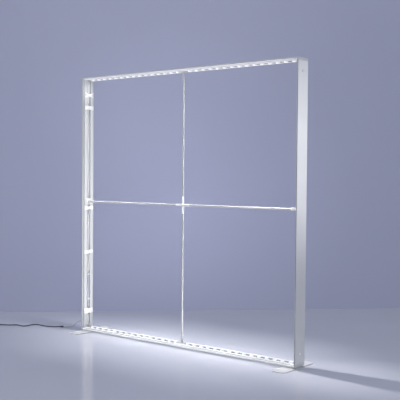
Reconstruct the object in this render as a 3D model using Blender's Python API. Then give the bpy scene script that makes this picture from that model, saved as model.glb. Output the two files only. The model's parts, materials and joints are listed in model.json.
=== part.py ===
"""Free-standing lightbox display wall, bare of its stretched fabric.

The file is in metres with Z up. X runs along the wall, -Y is its front, the floor is Z = 0 and the
origin is the middle of the floor area that the wall stands on. A member's own frame has x along
it, y through the wall's depth and z inward from its outer face.
"""
import math

import bmesh
import bpy
from mathutils import Matrix, Vector

# Whole wall: the frame's outer sizes, without its feet
WIDTH = 2.0
HEIGHT = 2.0
DEPTH = 0.12

# Clearances
SEAT_GAP = 0.0003
OVERRUN = 0.003

# Aluminium profile of the rails and uprights
WEB = 0.002
SLOT_WIDTH = 0.0034
LIP = 0.0026
SLOT_DEPTH = 0.015
RISE = 0.018
CHANNEL_WIDTH = 0.036
BOX_WALL = 0.0018
EDGE_ROUND = 0.0008

# Moulded corner connector
UPRIGHT_LEG_REACH = 0.1
UPRIGHT_LEG_WIDTH = 0.023
UPRIGHT_LEG_TOP = 0.0125
UPRIGHT_LEG_START = 0.006
RAIL_LEG_REACH = 0.07
RAIL_LEG_WIDTH = 0.016
RAIL_LEG_ROOT = 0.004
HEAD_ROUND = 0.0006

# Snap button and its leaf spring
BUTTON_DIAMETER = 0.018
BUTTON_FROM_END = 0.083
BUTTON_PROUD = 0.001
BUTTON_FLANGE_DIAMETER = 0.02
BUTTON_FLANGE_THICKNESS = 0.0022
BUTTON_ROUND = 0.0006
POCKET_BACK = 0.0018
SPRING_THICKNESS = 0.0005
SPRING_WIDTH = 0.008
SPRING_HALF_LENGTH = 0.0075

# Splice bar in each joint of two profiles
SPLICE_LENGTH = 0.16
SPLICE_WIDTH = 0.025
SPLICE_THICKNESS = 0.0082

# LED carrier, an inverted U in the channel of a rail
CARRIER_WIDTH = 0.03
CARRIER_TOP = 0.013
CARRIER_WALL = 0.0015
CARRIER_FROM_SIDE = 0.038

# Strip of edge lenses on a carrier
LENS_PITCH = 0.0625
LENS_FROM_MIDDLE = 0.056
LENS_FROM_SIDE = 0.06
LENS_LENGTH = 0.023
LENS_WIDTH = 0.02
LENS_TOP = 0.023
LENS_SHOULDER = 0.019
LENS_CROWN_SHARE = 0.7
STRIP_WIDTH = 0.024
STRIP_THICKNESS = 0.0012
STRIP_END_LENGTH = 0.0295

# Cross brace
ROD_DIAMETER = 0.0135
ROD_WALL = 0.0012
ROD_INSERT = 0.045
SOCKET_PLATE_THICKNESS = 0.003
RAIL_SOCKET_PLATE_LENGTH = 0.076
RAIL_SOCKET_PLATE_WIDTH = 0.046
UPRIGHT_SOCKET_PLATE_LENGTH = 0.053
UPRIGHT_SOCKET_PLATE_WIDTH = 0.084
SOCKET_PLATE_CORNER = 0.006
SOCKET_TUBE_DIAMETER = 0.018
SOCKET_TUBE_LENGTH = 0.06
SOCKET_FLARE = 0.004
SOCKET_RING_DIAMETER = 0.022
SOCKET_RING_LENGTH = 0.011
CROSS_SPAN = 0.125
CROSS_DIAMETER = 0.018
CROSS_INSERT = 0.04
BRACE_ABOVE_MIDDLE = 0.022

# Tongues of the sockets and clips, which grip the channel's walls
TONGUE_THICKNESS = 0.0024
TONGUE_LENGTH = 0.016
TONGUE_BOTTOM = 0.0135

# Foot plate, its spacer boss and its bolt
FOOT_LENGTH = 0.38
FOOT_WIDTH = 0.1
FOOT_THICKNESS = 0.006
FOOT_CORNER = 0.02
FOOT_EDGE = 0.001
SPACER_HEIGHT = 0.006
SPACER_DIAMETER = 0.03
BOLT_DIAMETER = 0.006
BOLT_HEAD_DIAMETER = 0.0125
BOLT_HEAD_HEIGHT = 0.003
BOLT_HEAD_SINK = 0.0006

# LED driver in the left upright
DRIVER_BOTTOM = 0.236
DRIVER_LENGTH = 0.21
DRIVER_WIDTH = 0.025
DRIVER_THICKNESS = 0.013
DRIVER_OFFSET = 0.003
DRIVER_ROUND = 0.0015

# Cable clips across the left upright's channel, from the top one down
CLIP_FROM_TOP = [0.133, 0.2335]
CLIP_BELOW_MIDDLE = 0.0285
CLIP_FREE_SHARE = 0.4383
CLIP_FROM_BOTTOM = 0.147
CLIP_LENGTHS = [0.046, 0.031, 0.029, 0.028, 0.04]
CLIP_WIDTH = 0.092
CLIP_THICKNESS = 0.0025
CLIP_CORNER = 0.003
CROSS_CLIP_ARM = 0.012
CROSS_CLIP_NOTCH = 0.022
CROSS_CLIP_WAIST = 0.016

# Bush of the supply lead, with its tapered strain relief
GLAND_HEIGHT = 0.065
GLAND_DEPTH = -0.01475
GLAND_STEM_DIAMETER = 0.0056
GLAND_STEM_END = 0.0063
GLAND_COLLAR_DIAMETER = 0.01
GLAND_COLLAR_THICKNESS = 0.0015
RELIEF_DIAMETER = 0.0084
RELIEF_END_DIAMETER = 0.0056
RELIEF_LENGTH = 0.022
RELIEF_RIDGES = 4
RELIEF_GROOVE = 0.0006
RIDGE_STEPS = 4

# Wires and cords
LOOM_DIAMETER = 0.004
SLEEVE_DIAMETER = 0.01
SLEEVE_LENGTH = 0.04
SLEEVE_BELOW_MIDDLE = 0.157
SLEEVE_RISE = 0.0095
SLEEVE_ROUND = 0.001
LEAD_DIAMETER = 0.0045
CORD_DIAMETER = 0.007

# Grey socket on the lead and black connector on the cord, by the point where they meet
INLINE_JOINT = (-1.2221, -0.0471)
INLINE_ANGLE = math.radians(225.0)
SOCKET_LENGTH = 0.052
SOCKET_DIAMETER = 0.013
SOCKET_TAIL_DIAMETER = 0.0075
SOCKET_TAPER = 0.014
SOCKET_BORE_DIAMETER = 0.0092
SOCKET_BORE_DEPTH = 0.012
CONNECTOR_LENGTH = 0.03
CONNECTOR_NECK_DIAMETER = 0.0095
CONNECTOR_TAPER = 0.012
CONNECTOR_BAND = 0.01
INLINE_ROUND = 0.0008

# Put-away length of the mains cord: a flat coil of two layers
COIL_CENTRE = (-1.7222, -0.3950)
COIL_MIDDLE_DIAMETER = 0.083
COIL_TURNS = 7
COIL_PITCH = 0.0075
COIL_START = math.radians(111.7)
COIL_POINTS = 24
COIL_TAIL = 0.04

# Mains plug at the coil's end
PLUG_RELIEF_DIAMETER = 0.0096
PLUG_RELIEF_LENGTH = 0.026
PLUG_NECK_DIAMETER = 0.015
PLUG_GRIP_DIAMETER = 0.024
PLUG_GRIP_LENGTH = 0.016
PLUG_FACE_DIAMETER = 0.036
PLUG_FACE_LENGTH = 0.02
PLUG_FLAT_HEIGHT = 0.026
PIN_DIAMETER = 0.0048
PIN_LENGTH = 0.019
PIN_SPACING = 0.019
PIN_ROUND = 0.001

# Fineness of round shapes, in sides or steps
TURNED_SIDES = 24
HOLE_SIDES = 24
CORNER_STEPS = 2
FOOT_CORNER_STEPS = 5
SHARP_ANGLE = math.radians(35.0)
MERGE_DISTANCE = 0.00003
CORD_RESOLUTION = 2
COIL_RESOLUTION = 1
LOOM_TURN = math.radians(12.0)
LOOM_STEP = 0.03
LEAD_STEP = 0.011
CORD_STEP = 0.0175
FINE_STEPS = 16

# Places worked out from the sizes above
FRAME_BOTTOM = FOOT_THICKNESS + SPACER_HEIGHT
FRAME_TOP = FRAME_BOTTOM + HEIGHT
MIDDLE = FRAME_BOTTOM + HEIGHT / 2
RIM = WEB + SLOT_WIDTH + LIP
SEAT = WEB + SEAT_GAP
DECK_SEAT = RISE + SEAT_GAP
HALF_RAIL = WIDTH / 2 - RIM
HALF_UPRIGHT = HEIGHT / 2 - RISE
RAIL_LEG_TOP = SEAT + SPLICE_THICKNESS
POCKET_FLOOR = UPRIGHT_LEG_TOP - POCKET_BACK
CARRIER_END = WIDTH / 2 - CARRIER_FROM_SIDE
LENS_COUNT = int((WIDTH / 2 - LENS_FROM_MIDDLE - LENS_FROM_SIDE) / LENS_PITCH) + 1
BRACE_HEIGHT = MIDDLE + BRACE_ABOVE_MIDDLE
SOCKET_BORE_BOTTOM = DECK_SEAT + SOCKET_PLATE_THICKNESS + SOCKET_TUBE_LENGTH - ROD_INSERT
FOOT_FROM_MIDDLE = WIDTH / 2 - FOOT_WIDTH / 2
DRIVER_TOP = DRIVER_BOTTOM + DRIVER_LENGTH
SLEEVE_BOTTOM = HEIGHT / 2 - SLEEVE_BELOW_MIDDLE
INLINE_HEIGHT = SOCKET_DIAMETER / 2 + SEAT_GAP
COIL_INNER_RADIUS = COIL_MIDDLE_DIAMETER / 2 - COIL_TURNS * COIL_PITCH / 4
COIL_BOTTOM = CORD_DIAMETER / 2 + SEAT_GAP
PLUG_HEIGHT = PLUG_FLAT_HEIGHT / 2 + SEAT_GAP

# Directions in a member's own frame and in the world
UP = Vector((0.0, 0.0, 1.0))
ALONG_X = Matrix(((0, 0, 1), (1, 0, 0), (0, 1, 0))).to_4x4()
ACROSS_Y = Matrix(((1, 0, 0), (0, 0, -1), (0, 1, 0))).to_4x4()
INLINE_HEADING = Vector((math.cos(INLINE_ANGLE), math.sin(INLINE_ANGLE), 0.0))

# Loom from the lower LED bar to the upper one, as (from the left face, depth, height)
# Heights above the frame's bottom
LOOM_LOW = [
    (0.07, 0.011, 0.0090), (0.054, 0.011, 0.0090), (0.04, 0.011, 0.0090), (0.029, 0.011, 0.0106),
    (0.0195, 0.0102, 0.0190), (0.0158, 0.008, 0.0360), (0.0153, 0.004, 0.0620), (0.0153, -0.0015, 0.0900),
    (0.0153, -0.0055, 0.1180), (0.0143, -0.0095, 0.1450), (0.012, -0.012, 0.1720), (0.01, -0.0132, 0.2000),
    (0.009, -0.0132, 0.2360),
]
# Heights as shares of the free stretch between the driver and the sleeve
LOOM_FREE_SHARES = [
    (0.009, -0.0128, 0.1864), (0.009, -0.0118, 0.4383), (0.01, -0.008, 0.5390), (0.0125, 0.0, 0.6398),
    (0.013, 0.0065, 0.7280), (0.0125, 0.009, 0.8287), (0.0105, 0.0055, 0.9295),
]
# Heights from the upright's middle
LOOM_MIDDLE = [
    (0.0095, 0.0023, -0.1570), (0.0095, 0.001, -0.1350), (0.0098, 0.001, -0.1160), (0.0125, 0.004, -0.0960),
    (0.0138, 0.007, -0.0750), (0.0138, 0.008, -0.0400), (0.0138, 0.008, 0.0400), (0.0136, 0.007, 0.0850),
    (0.01, 0.005, 0.1250),
]
# Heights as shares of the stretch between the middle's rows and the top's
LOOM_UPPER_SHARES = [
    (0.0065, 0.0, 0.1200), (0.0055, -0.006, 0.2800), (0.0055, 0.004, 0.4720), (0.0055, 0.008, 0.6640),
    (0.007, -0.002, 0.8400),
]
# Heights from the frame's top
LOOM_HIGH = [
    (0.01, -0.009, -0.2500), (0.013, -0.01, -0.1800), (0.0153, -0.01, -0.1360), (0.0153, -0.01, -0.0900),
    (0.0153, -0.0108, -0.0370), (0.0153, -0.0082, -0.0303), (0.0153, -0.0018, -0.0276),
    (0.0153, 0.0047, -0.0303),
    (0.0153, 0.0073, -0.0370), (0.0153, 0.0065, -0.1000), (0.0153, 0.0065, -0.1320), (0.011, 0.0065, -0.1650),
    (0.0072, 0.0061, -0.1850), (0.0058, 0.0029, -0.1930), (0.0052, -0.0042, -0.1962),
    (0.005, -0.0113, -0.1930),
    (0.0052, -0.0145, -0.1850), (0.007, -0.0148, -0.1500), (0.008, -0.0148, -0.1000),
    (0.008, -0.0148, -0.0450),
    (0.0098, -0.0148, -0.0280),
    (0.016, -0.0142, -0.0140), (0.027, -0.012, -0.0095), (0.04, -0.011, -0.0090), (0.054, -0.011, -0.0090),
    (0.07, -0.011, -0.0090),
]
# Tail from the driver to the loom's sleeve: its loops in the free stretch, and its end from the middle
TAIL_FREE_SHARES = [
    (0.0065, 0.0032, 0.0252), (0.0062, 0.006, 0.0856), (0.0055, 0.0115, 0.1738), (0.005, 0.013, 0.2620),
    (0.005, 0.0126, 0.3320), (0.0054, 0.0098, 0.3491), (0.0062, 0.003, 0.3562), (0.007, -0.0038, 0.3491),
    (0.0078, -0.0066, 0.3320), (0.009, -0.007, 0.2116), (0.0106, -0.0068, 0.1259), (0.0114, -0.0063, 0.0819),
    (0.012, -0.0037, 0.0662), (0.0126, 0.0025, 0.0598), (0.013, 0.0087, 0.0662), (0.0132, 0.0113, 0.0819),
    (0.0132, 0.0118, 0.1461), (0.013, 0.011, 0.3375), (0.0125, 0.0095, 0.4635), (0.0095, 0.005, 0.5642),
    (0.006, -0.002, 0.6524),
    (0.0055, -0.008, 0.7406), (0.0065, -0.0095, 0.8287), (0.0085, -0.006, 0.9295),
]
TAIL_END = [
    (0.0095, -0.0023, -0.1570), (0.0095, -0.001, -0.1350),
]
# Driver's input lead: its turn at the bush, as (from the left face, above the bush)
INPUT_TURN = [
    (0.0066, 0.0000), (0.0076, 0.0000), (0.0107, 0.0006), (0.0133, 0.0023), (0.0150, 0.0049),
    (0.0156, 0.0080),
]
# Its rise, with heights as shares of the stretch from the bush to the driver
INPUT_RISE_SHARES = [
    (0.0152, -0.01475, 0.1111), (0.0132, -0.01475, 0.2222), (0.0108, -0.0147, 0.3275),
    (0.0072, -0.0108, 0.4620),
    (0.005, -0.0035, 0.6023), (0.006, 0.001, 0.7310), (0.008, 0.0028, 0.8596), (0.0088, 0.003, 0.9474),
    (0.0088, 0.003, 1.0000),
]
# Supply lead from its strain relief down towards the grey socket, in the world
LEAD_ROUTE = [
    (-1.0241, -0.01475, 0.0770), (-1.0300, -0.01475, 0.0768), (-1.0450, -0.0150, 0.0745),
    (-1.0620, -0.0150, 0.0685), (-1.0800, -0.0143, 0.0610), (-1.0950, -0.0130, 0.0530),
    (-1.1100, -0.0108, 0.0440), (-1.1250, -0.0078, 0.0340), (-1.1380, -0.0045, 0.0245),
    (-1.1500, -0.0015, 0.0165), (-1.1610, 0.0005, 0.0108), (-1.1705, 0.0000, 0.0080),
    (-1.1775, -0.0032, 0.0070),
]
# Mains cord from its connector along the floor towards the coil, in the world
CORD_ROUTE = [
    (-1.2640, -0.0860, 0.0055), (-1.2850, -0.0990, 0.0042), (-1.3120, -0.1090, 0.0038),
    (-1.3420, -0.1170, 0.0038), (-1.3750, -0.1210, 0.0038), (-1.4100, -0.1200, 0.0038),
    (-1.4420, -0.1180, 0.0038), (-1.4700, -0.1240, 0.0038), (-1.4870, -0.1420, 0.0038),
    (-1.4900, -0.1660, 0.0038), (-1.4840, -0.1920, 0.0038), (-1.4830, -0.2180, 0.0038),
    (-1.4960, -0.2390, 0.0038), (-1.5210, -0.2450, 0.0038), (-1.5480, -0.2390, 0.0038),
    (-1.5740, -0.2400, 0.0038), (-1.5930, -0.2560, 0.0038), (-1.6060, -0.2770, 0.0038),
    (-1.6260, -0.2930, 0.0038), (-1.6530, -0.3030, 0.0038), (-1.6820, -0.3150, 0.0038),
    (-1.7080, -0.3280, 0.0038),
]


def clear_scene():
    """Empties the scene of the objects that it opened with."""
    for item in list(bpy.data.objects):
        bpy.data.objects.remove(item, do_unlink=True)


def make_material(name, colour, roughness, metallic=0.0):
    """A plain Principled material."""
    finish = bpy.data.materials.new(name)
    finish.use_nodes = True
    shader = finish.node_tree.nodes["Principled BSDF"]
    shader.inputs["Base Color"].default_value = (*colour, 1.0)
    shader.inputs["Roughness"].default_value = roughness
    shader.inputs["Metallic"].default_value = metallic
    finish.diffuse_color = (*colour, 1.0)
    return finish


def place(origin, along, inward):
    """The matrix of a frame whose x axis runs along a member and whose z axis points inward."""
    x = Vector(along)
    z = Vector(inward)
    y = z.cross(x)
    return Matrix.Translation(Vector(origin)) @ Matrix((x, y, z)).transposed().to_4x4()


def finish_mesh(name, bm, smooth):
    """Turns a bmesh into a mesh with its faces pointing out."""
    bmesh.ops.recalc_face_normals(bm, faces=bm.faces)
    mesh = bpy.data.meshes.new(name)
    bm.to_mesh(mesh)
    bm.free()
    if smooth:
        mesh.shade_smooth()
        mesh.set_sharp_from_angle(angle=SHARP_ANGLE)
    return mesh


def add_piece(name, bm, finish, where, smooth=False):
    """Adds one piece of the wall, placed by its matrix under the wall's empty."""
    mesh = finish_mesh(name, bm, smooth)
    mesh.materials.append(finish)
    piece = bpy.data.objects.new(name, mesh)
    bpy.context.collection.objects.link(piece)
    piece.parent = bpy.data.objects["wall"]
    piece.matrix_basis = where
    return piece


def add_tool(target, bm, operation):
    """Joins a shape to a piece, or cuts it out, with a Boolean; the shape lies in the piece's frame."""
    tool = bpy.data.objects.new(target.name + "_" + operation.lower(), finish_mesh(target.name, bm, False))
    bpy.context.collection.objects.link(tool)
    tool.parent = target
    tool.hide_render = True
    tool.display_type = "WIRE"
    modifier = target.modifiers.new(operation.title(), "BOOLEAN")
    modifier.operation = operation
    modifier.solver = "EXACT"
    modifier.object = tool


def add_box(bm, low, high):
    """Adds a box between two corners."""
    size = Vector(high) - Vector(low)
    middle = (Vector(high) + Vector(low)) / 2
    matrix = Matrix.Translation(middle) @ Matrix.Diagonal((*size, 1.0))
    return bmesh.ops.create_cube(bm, size=1.0, matrix=matrix)["verts"]


def box(low, high):
    """A bmesh of one box."""
    bm = bmesh.new()
    add_box(bm, low, high)
    return bm


def bevel_all(bm, width, segments=1):
    """Bevels every edge of a bmesh."""
    bmesh.ops.bevel(bm, geom=bm.edges[:], offset=width, segments=segments, affect="EDGES", profile=0.5)


def add_turned(bm, outline, matrix=Matrix.Identity(4), sides=TURNED_SIDES):
    """Turns an outline of (radius, height) points round the z axis and closes both its ends."""
    rings = []
    for radius, height in outline:
        turns = [math.tau * (i + 0.5) / sides for i in range(sides)]
        points = [Vector((radius * math.cos(turn), radius * math.sin(turn), height)) for turn in turns]
        rings.append([bm.verts.new(matrix @ point) for point in points])
    for lower, upper in zip(rings, rings[1:]):
        for i in range(sides):
            j = (i + 1) % sides
            bm.faces.new((lower[i], lower[j], upper[j], upper[i]))
    bm.faces.new(rings[0])
    bm.faces.new(rings[-1])


def turned(outline, matrix=Matrix.Identity(4), sides=TURNED_SIDES):
    """A bmesh of one turned body."""
    bm = bmesh.new()
    add_turned(bm, outline, matrix, sides)
    return bm


def add_cylinder(bm, diameter, low, high, matrix=Matrix.Identity(4), sides=HOLE_SIDES):
    """Adds a cylinder on the z axis of a frame, between two heights."""
    add_turned(bm, [(diameter / 2, low), (diameter / 2, high)], matrix, sides)


def rounded(corners, steps):
    """An outline from (x, y, radius) corners, each rounded by an arc of a few steps."""
    points = []
    for i, (x, y, radius) in enumerate(corners):
        here = Vector((x, y))
        if not radius:
            points.append(here)
            continue
        before = (Vector(corners[i - 1][:2]) - here).normalized()
        after = (Vector(corners[(i + 1) % len(corners)][:2]) - here).normalized()
        half = before.angle(after) / 2
        centre = here + (before + after).normalized() * radius / math.sin(half)
        first = here + before * radius / math.tan(half) - centre
        last = here + after * radius / math.tan(half) - centre
        turn = first.angle_signed(last)
        for k in range(steps + 1):
            points.append(centre + Matrix.Rotation(-turn * k / steps, 2) @ first)
    return points


def rectangle(length, width, corner):
    """The rounded corners of a rectangle about the origin."""
    signs = [(-1, -1), (1, -1), (1, 1), (-1, 1)]
    return [(a * length / 2, b * width / 2, corner) for a, b in signs]


def circle(diameter, sides=TURNED_SIDES):
    """The corners of a round outline about the origin."""
    turns = [math.tau * (i + 0.5) / sides for i in range(sides)]
    return [(diameter / 2 * math.cos(turn), diameter / 2 * math.sin(turn)) for turn in turns]


def add_prism(bm, loops, low, high, matrix=Matrix.Identity(4)):
    """Extrudes flat loops along z; a loop inside another is a hole."""
    edges = []
    for loop in loops:
        verts = [bm.verts.new((point[0], point[1], low)) for point in loop]
        edges += [bm.edges.new((verts[i - 1], verts[i])) for i in range(len(verts))]
    filled = bmesh.ops.triangle_fill(bm, use_beauty=True, use_dissolve=False, edges=edges, normal=UP)
    faces = [item for item in filled["geom"] if isinstance(item, bmesh.types.BMFace)]
    raised = bmesh.ops.extrude_face_region(bm, geom=faces, use_keep_orig=True)["geom"]
    verts = [item for item in raised if isinstance(item, bmesh.types.BMVert)]
    bmesh.ops.translate(bm, vec=UP * (high - low), verts=verts)
    base = {vert for face in faces for vert in face.verts}
    bmesh.ops.transform(bm, matrix=matrix, verts=list(base) + verts)


def prism(loops, low, high, matrix=Matrix.Identity(4)):
    """A bmesh of one extruded outline."""
    bm = bmesh.new()
    add_prism(bm, loops, low, high, matrix)
    return bm


def member(side):
    """The frame of a whole member, from its middle, along +X or +Z."""
    frames = {
        "top": ((0, 0, FRAME_TOP), (1, 0, 0), (0, 0, -1)),
        "bottom": ((0, 0, FRAME_BOTTOM), (1, 0, 0), (0, 0, 1)),
        "left": ((-WIDTH / 2, 0, MIDDLE), (0, 0, 1), (1, 0, 0)),
        "right": ((WIDTH / 2, 0, MIDDLE), (0, 0, 1), (-1, 0, 0)),
    }
    return place(*frames[side])


def half_member(side, sign):
    """The frame of half a member, whose x axis runs from its middle towards one end."""
    flip = Matrix.Rotation(math.pi, 4, "Z") if sign < 0 else Matrix.Identity(4)
    return member(side) @ flip


def corner(side, sign):
    """The frame of a corner: x runs outward along the rail, z along the upright, from the outer corner."""
    return half_member(side, sign) @ Matrix.Translation((WIDTH / 2, 0, 0))


def button_frame(side, sign):
    """The frame of a snap button: z runs inward along its axis from the upright's outer face."""
    along = HEIGHT / 2 - BUTTON_FROM_END
    return member(side) @ Matrix.Translation((sign * along, 0, 0))


def left_point(inward, depth, height):
    """A point in the left upright's channel, in the world."""
    return Vector((-WIDTH / 2 + inward, depth, FRAME_BOTTOM + height))


def smooth_route(points):
    """Fine points along the centripetal Catmull-Rom curve through a route's points."""
    knots = [Vector(p) for p in points]
    knots = [2 * knots[0] - knots[1], *knots, 2 * knots[-1] - knots[-2]]
    fine = []
    for a, b, c, d in zip(knots, knots[1:], knots[2:], knots[3:]):
        t0 = 0.0
        t1 = t0 + math.sqrt((b - a).length)
        t2 = t1 + math.sqrt((c - b).length)
        t3 = t2 + math.sqrt((d - c).length)
        for k in range(FINE_STEPS):
            t = t1 + (t2 - t1) * k / FINE_STEPS
            ab = a.lerp(b, (t - t0) / (t1 - t0))
            bc = b.lerp(c, (t - t1) / (t2 - t1))
            cd = c.lerp(d, (t - t2) / (t3 - t2))
            abc = ab.lerp(bc, (t - t0) / (t2 - t0))
            bcd = bc.lerp(cd, (t - t1) / (t3 - t1))
            fine.append(abc.lerp(bcd, (t - t1) / (t2 - t1)))
    fine.append(knots[-2])
    return fine


def even_points(fine, step):
    """Points at even steps along a fine line."""
    lengths = [0.0]
    for a, b in zip(fine, fine[1:]):
        lengths.append(lengths[-1] + (b - a).length)
    count = max(2, round(lengths[-1] / step))
    points = []
    at = 0
    for k in range(count):
        target = lengths[-1] * k / count
        while lengths[at + 1] < target:
            at += 1
        share = (target - lengths[at]) / (lengths[at + 1] - lengths[at])
        points.append(fine[at].lerp(fine[at + 1], share))
    return points + [fine[-1]]


def turning_points(fine, turn, step):
    """Points of a fine line, closer together where it bends."""
    points = [fine[0]]
    bend = 0.0
    for before, here, after in zip(fine, fine[1:], fine[2:]):
        bend += (here - before).angle(after - here)
        if bend >= turn or (here - points[-1]).length >= step:
            points.append(here)
            bend = 0.0
    if (fine[-1] - points[-1]).length < LOOM_DIAMETER / 2:
        points.pop()
    return points + [fine[-1]]


def add_cord(name, points, diameter, resolution, finish):
    """Adds a round cord as a curve with a bevel and closed ends."""
    curve = bpy.data.curves.new(name, "CURVE")
    curve.dimensions = "3D"
    curve.bevel_depth = diameter / 2
    curve.bevel_resolution = resolution
    curve.use_fill_caps = True
    spline = curve.splines.new("POLY")
    spline.points.add(len(points) - 1)
    for spot, point in zip(spline.points, points):
        spot.co = (*point, 1.0)
    curve.materials.append(finish)
    cord = bpy.data.objects.new(name, curve)
    bpy.context.collection.objects.link(cord)
    cord.parent = bpy.data.objects["wall"]
    return cord


def tube_bmesh(points, diameter):
    """A bmesh of the tube along a line of points."""
    guide = add_cord("tube_guide", points, diameter, CORD_RESOLUTION, None)
    mesh = bpy.data.meshes.new_from_object(guide.evaluated_get(bpy.context.evaluated_depsgraph_get()))
    bm = bmesh.new()
    bm.from_mesh(mesh)
    bmesh.ops.remove_doubles(bm, verts=bm.verts, dist=MERGE_DISTANCE)
    bpy.data.objects.remove(guide, do_unlink=True)
    bpy.data.meshes.remove(mesh)
    return bm


def profile_loops():
    """The profile's outline and its two hollow boxes, as (depth, inward) points."""
    half = DEPTH / 2
    slot = half - SLOT_DEPTH
    side = CHANNEL_WIDTH / 2
    bank = [
        (side, WEB, 0),
        (side, RISE, 0),
        (slot, RISE, 0),
        (slot, RIM, 0),
        (half, RIM, EDGE_ROUND),
        (half, WEB + SLOT_WIDTH, 0),
        (slot, WEB + SLOT_WIDTH, 0),
        (slot, WEB, 0),
        (half, WEB, 0),
        (half, 0, EDGE_ROUND),
    ]
    mirrored = [(-depth, inward, radius) for depth, inward, radius in reversed(bank)]
    outline = rounded(bank + mirrored, CORNER_STEPS)
    low = side + BOX_WALL
    high = slot - BOX_WALL
    hollow = [(low, WEB), (high, WEB), (high, RISE - BOX_WALL), (low, RISE - BOX_WALL)]
    return [outline, hollow, [(-depth, inward) for depth, inward in hollow]]


def add_profile(name, side, sign, length, finish):
    """Adds half a rail or upright, from the member's middle towards one end."""
    bm = prism(profile_loops(), SEAT_GAP / 2, length - SEAT_GAP, ALONG_X)
    return add_piece(name, bm, finish, half_member(side, sign))


def button_hole(x):
    """A cutter for the button's hole in an upright's web, at a place along it."""
    bm = bmesh.new()
    add_cylinder(bm, BUTTON_DIAMETER + 2 * SEAT_GAP, -OVERRUN, WEB + OVERRUN, Matrix.Translation((x, 0, 0)))
    return bm


def add_rails(finish):
    """Adds the four half rails; the lower ones have the holes of the foot bolts."""
    for side in ("top", "bottom"):
        for name, sign in (("left", -1), ("right", 1)):
            rail = add_profile(f"rail_{side}_{name}", side, sign, HALF_RAIL, finish)
            if side == "bottom":
                cutter = bmesh.new()
                spot = Matrix.Translation((FOOT_FROM_MIDDLE, 0, 0))
                add_cylinder(cutter, BOLT_DIAMETER + 2 * SEAT_GAP, -OVERRUN, WEB + OVERRUN, spot)
                add_tool(rail, cutter, "DIFFERENCE")


def add_uprights(finish):
    """Adds the four half uprights with their button holes, and the hole of the lead's bush."""
    for side in ("left", "right"):
        for name, sign in (("lower", -1), ("upper", 1)):
            upright = add_profile(f"upright_{side}_{name}", side, sign, HALF_UPRIGHT, finish)
            cutter = button_hole(HEIGHT / 2 - BUTTON_FROM_END)
            if (side, name) == ("left", "lower"):
                spot = half_member(side, sign).inverted() @ left_point(0, GLAND_DEPTH, GLAND_HEIGHT)
                hole = GLAND_STEM_DIAMETER + 2 * SEAT_GAP
                add_cylinder(cutter, hole, -OVERRUN, WEB + OVERRUN, Matrix.Translation(spot))
            add_tool(upright, cutter, "DIFFERENCE")


def add_corner_connectors(finish):
    """Adds the four corner pieces: a head that closes the corner, and a leg into each member."""
    half = DEPTH / 2
    for side in ("top", "bottom"):
        for name, sign in (("left", -1), ("right", 1)):
            head = box((-RIM, -half, 0), (0, half, RISE))
            bevel_all(head, HEAD_ROUND)
            piece = add_piece(f"corner_connector_{side}_{name}", head, finish, corner(side, sign))
            low = (-UPRIGHT_LEG_TOP, -UPRIGHT_LEG_WIDTH / 2, UPRIGHT_LEG_START)
            high = (-SEAT, UPRIGHT_LEG_WIDTH / 2, RISE + UPRIGHT_LEG_REACH)
            add_tool(piece, box(low, high), "UNION")
            low = (-RIM - RAIL_LEG_REACH, -RAIL_LEG_WIDTH / 2, SEAT)
            high = (-RAIL_LEG_ROOT, RAIL_LEG_WIDTH / 2, RAIL_LEG_TOP)
            add_tool(piece, box(low, high), "UNION")
            add_tool(piece, connector_cuts(), "DIFFERENCE")


def connector_cuts():
    """The fabric slots of a corner's head, the pocket of its button and the hole of a foot bolt."""
    bm = bmesh.new()
    half = DEPTH / 2
    slot = half - SLOT_DEPTH
    inner = WEB + SLOT_WIDTH
    bend = [
        (-RIM - OVERRUN, WEB),
        (-WEB, WEB),
        (-WEB, RISE + OVERRUN),
        (-inner, RISE + OVERRUN),
        (-inner, inner),
        (-RIM - OVERRUN, inner),
    ]
    for sign in (-1, 1):
        near, far = sorted((sign * slot, sign * (half + OVERRUN)))
        add_prism(bm, [bend], near, far, ACROSS_Y)
    pocket = BUTTON_FLANGE_DIAMETER + 2 * SEAT_GAP
    axis = Matrix.Translation((0, 0, BUTTON_FROM_END)) @ Matrix.Rotation(math.pi / 2, 4, "Y")
    add_cylinder(bm, pocket, -POCKET_FLOOR, OVERRUN, axis)
    spot = Matrix.Translation((-FOOT_WIDTH / 2, 0, 0))
    add_cylinder(bm, BOLT_DIAMETER + 2 * SEAT_GAP, -OVERRUN, RAIL_LEG_TOP + OVERRUN, spot)
    return bm


def add_buttons(button_finish, spring_finish):
    """Adds the four snap buttons and the V-shaped leaf springs behind them."""
    back = SEAT + BUTTON_FLANGE_THICKNESS
    button = [
        (BUTTON_DIAMETER / 2 - BUTTON_ROUND, -BUTTON_PROUD),
        (BUTTON_DIAMETER / 2, BUTTON_ROUND - BUTTON_PROUD),
        (BUTTON_DIAMETER / 2, SEAT),
        (BUTTON_FLANGE_DIAMETER / 2, SEAT),
        (BUTTON_FLANGE_DIAMETER / 2, back),
    ]
    low = back + SEAT_GAP
    high = POCKET_FLOOR - SEAT_GAP
    slope = math.atan2(high - low, SPRING_HALF_LENGTH)
    tip = SPRING_HALF_LENGTH - SPRING_THICKNESS / math.sin(slope)
    under = high - SPRING_THICKNESS / math.cos(slope)
    outer = [(-SPRING_HALF_LENGTH, low), (0, high), (SPRING_HALF_LENGTH, low)]
    bend = [*outer, (tip, low), (0, under), (-tip, low)]
    for side in ("left", "right"):
        for name, sign in (("bottom", -1), ("top", 1)):
            where = button_frame(side, sign)
            add_piece(f"snap_button_{name}_{side}", turned(button), button_finish, where, smooth=True)
            spring = prism([bend], -SPRING_WIDTH / 2, SPRING_WIDTH / 2, ACROSS_Y)
            add_piece(f"button_spring_{name}_{side}", spring, spring_finish, where)


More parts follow.
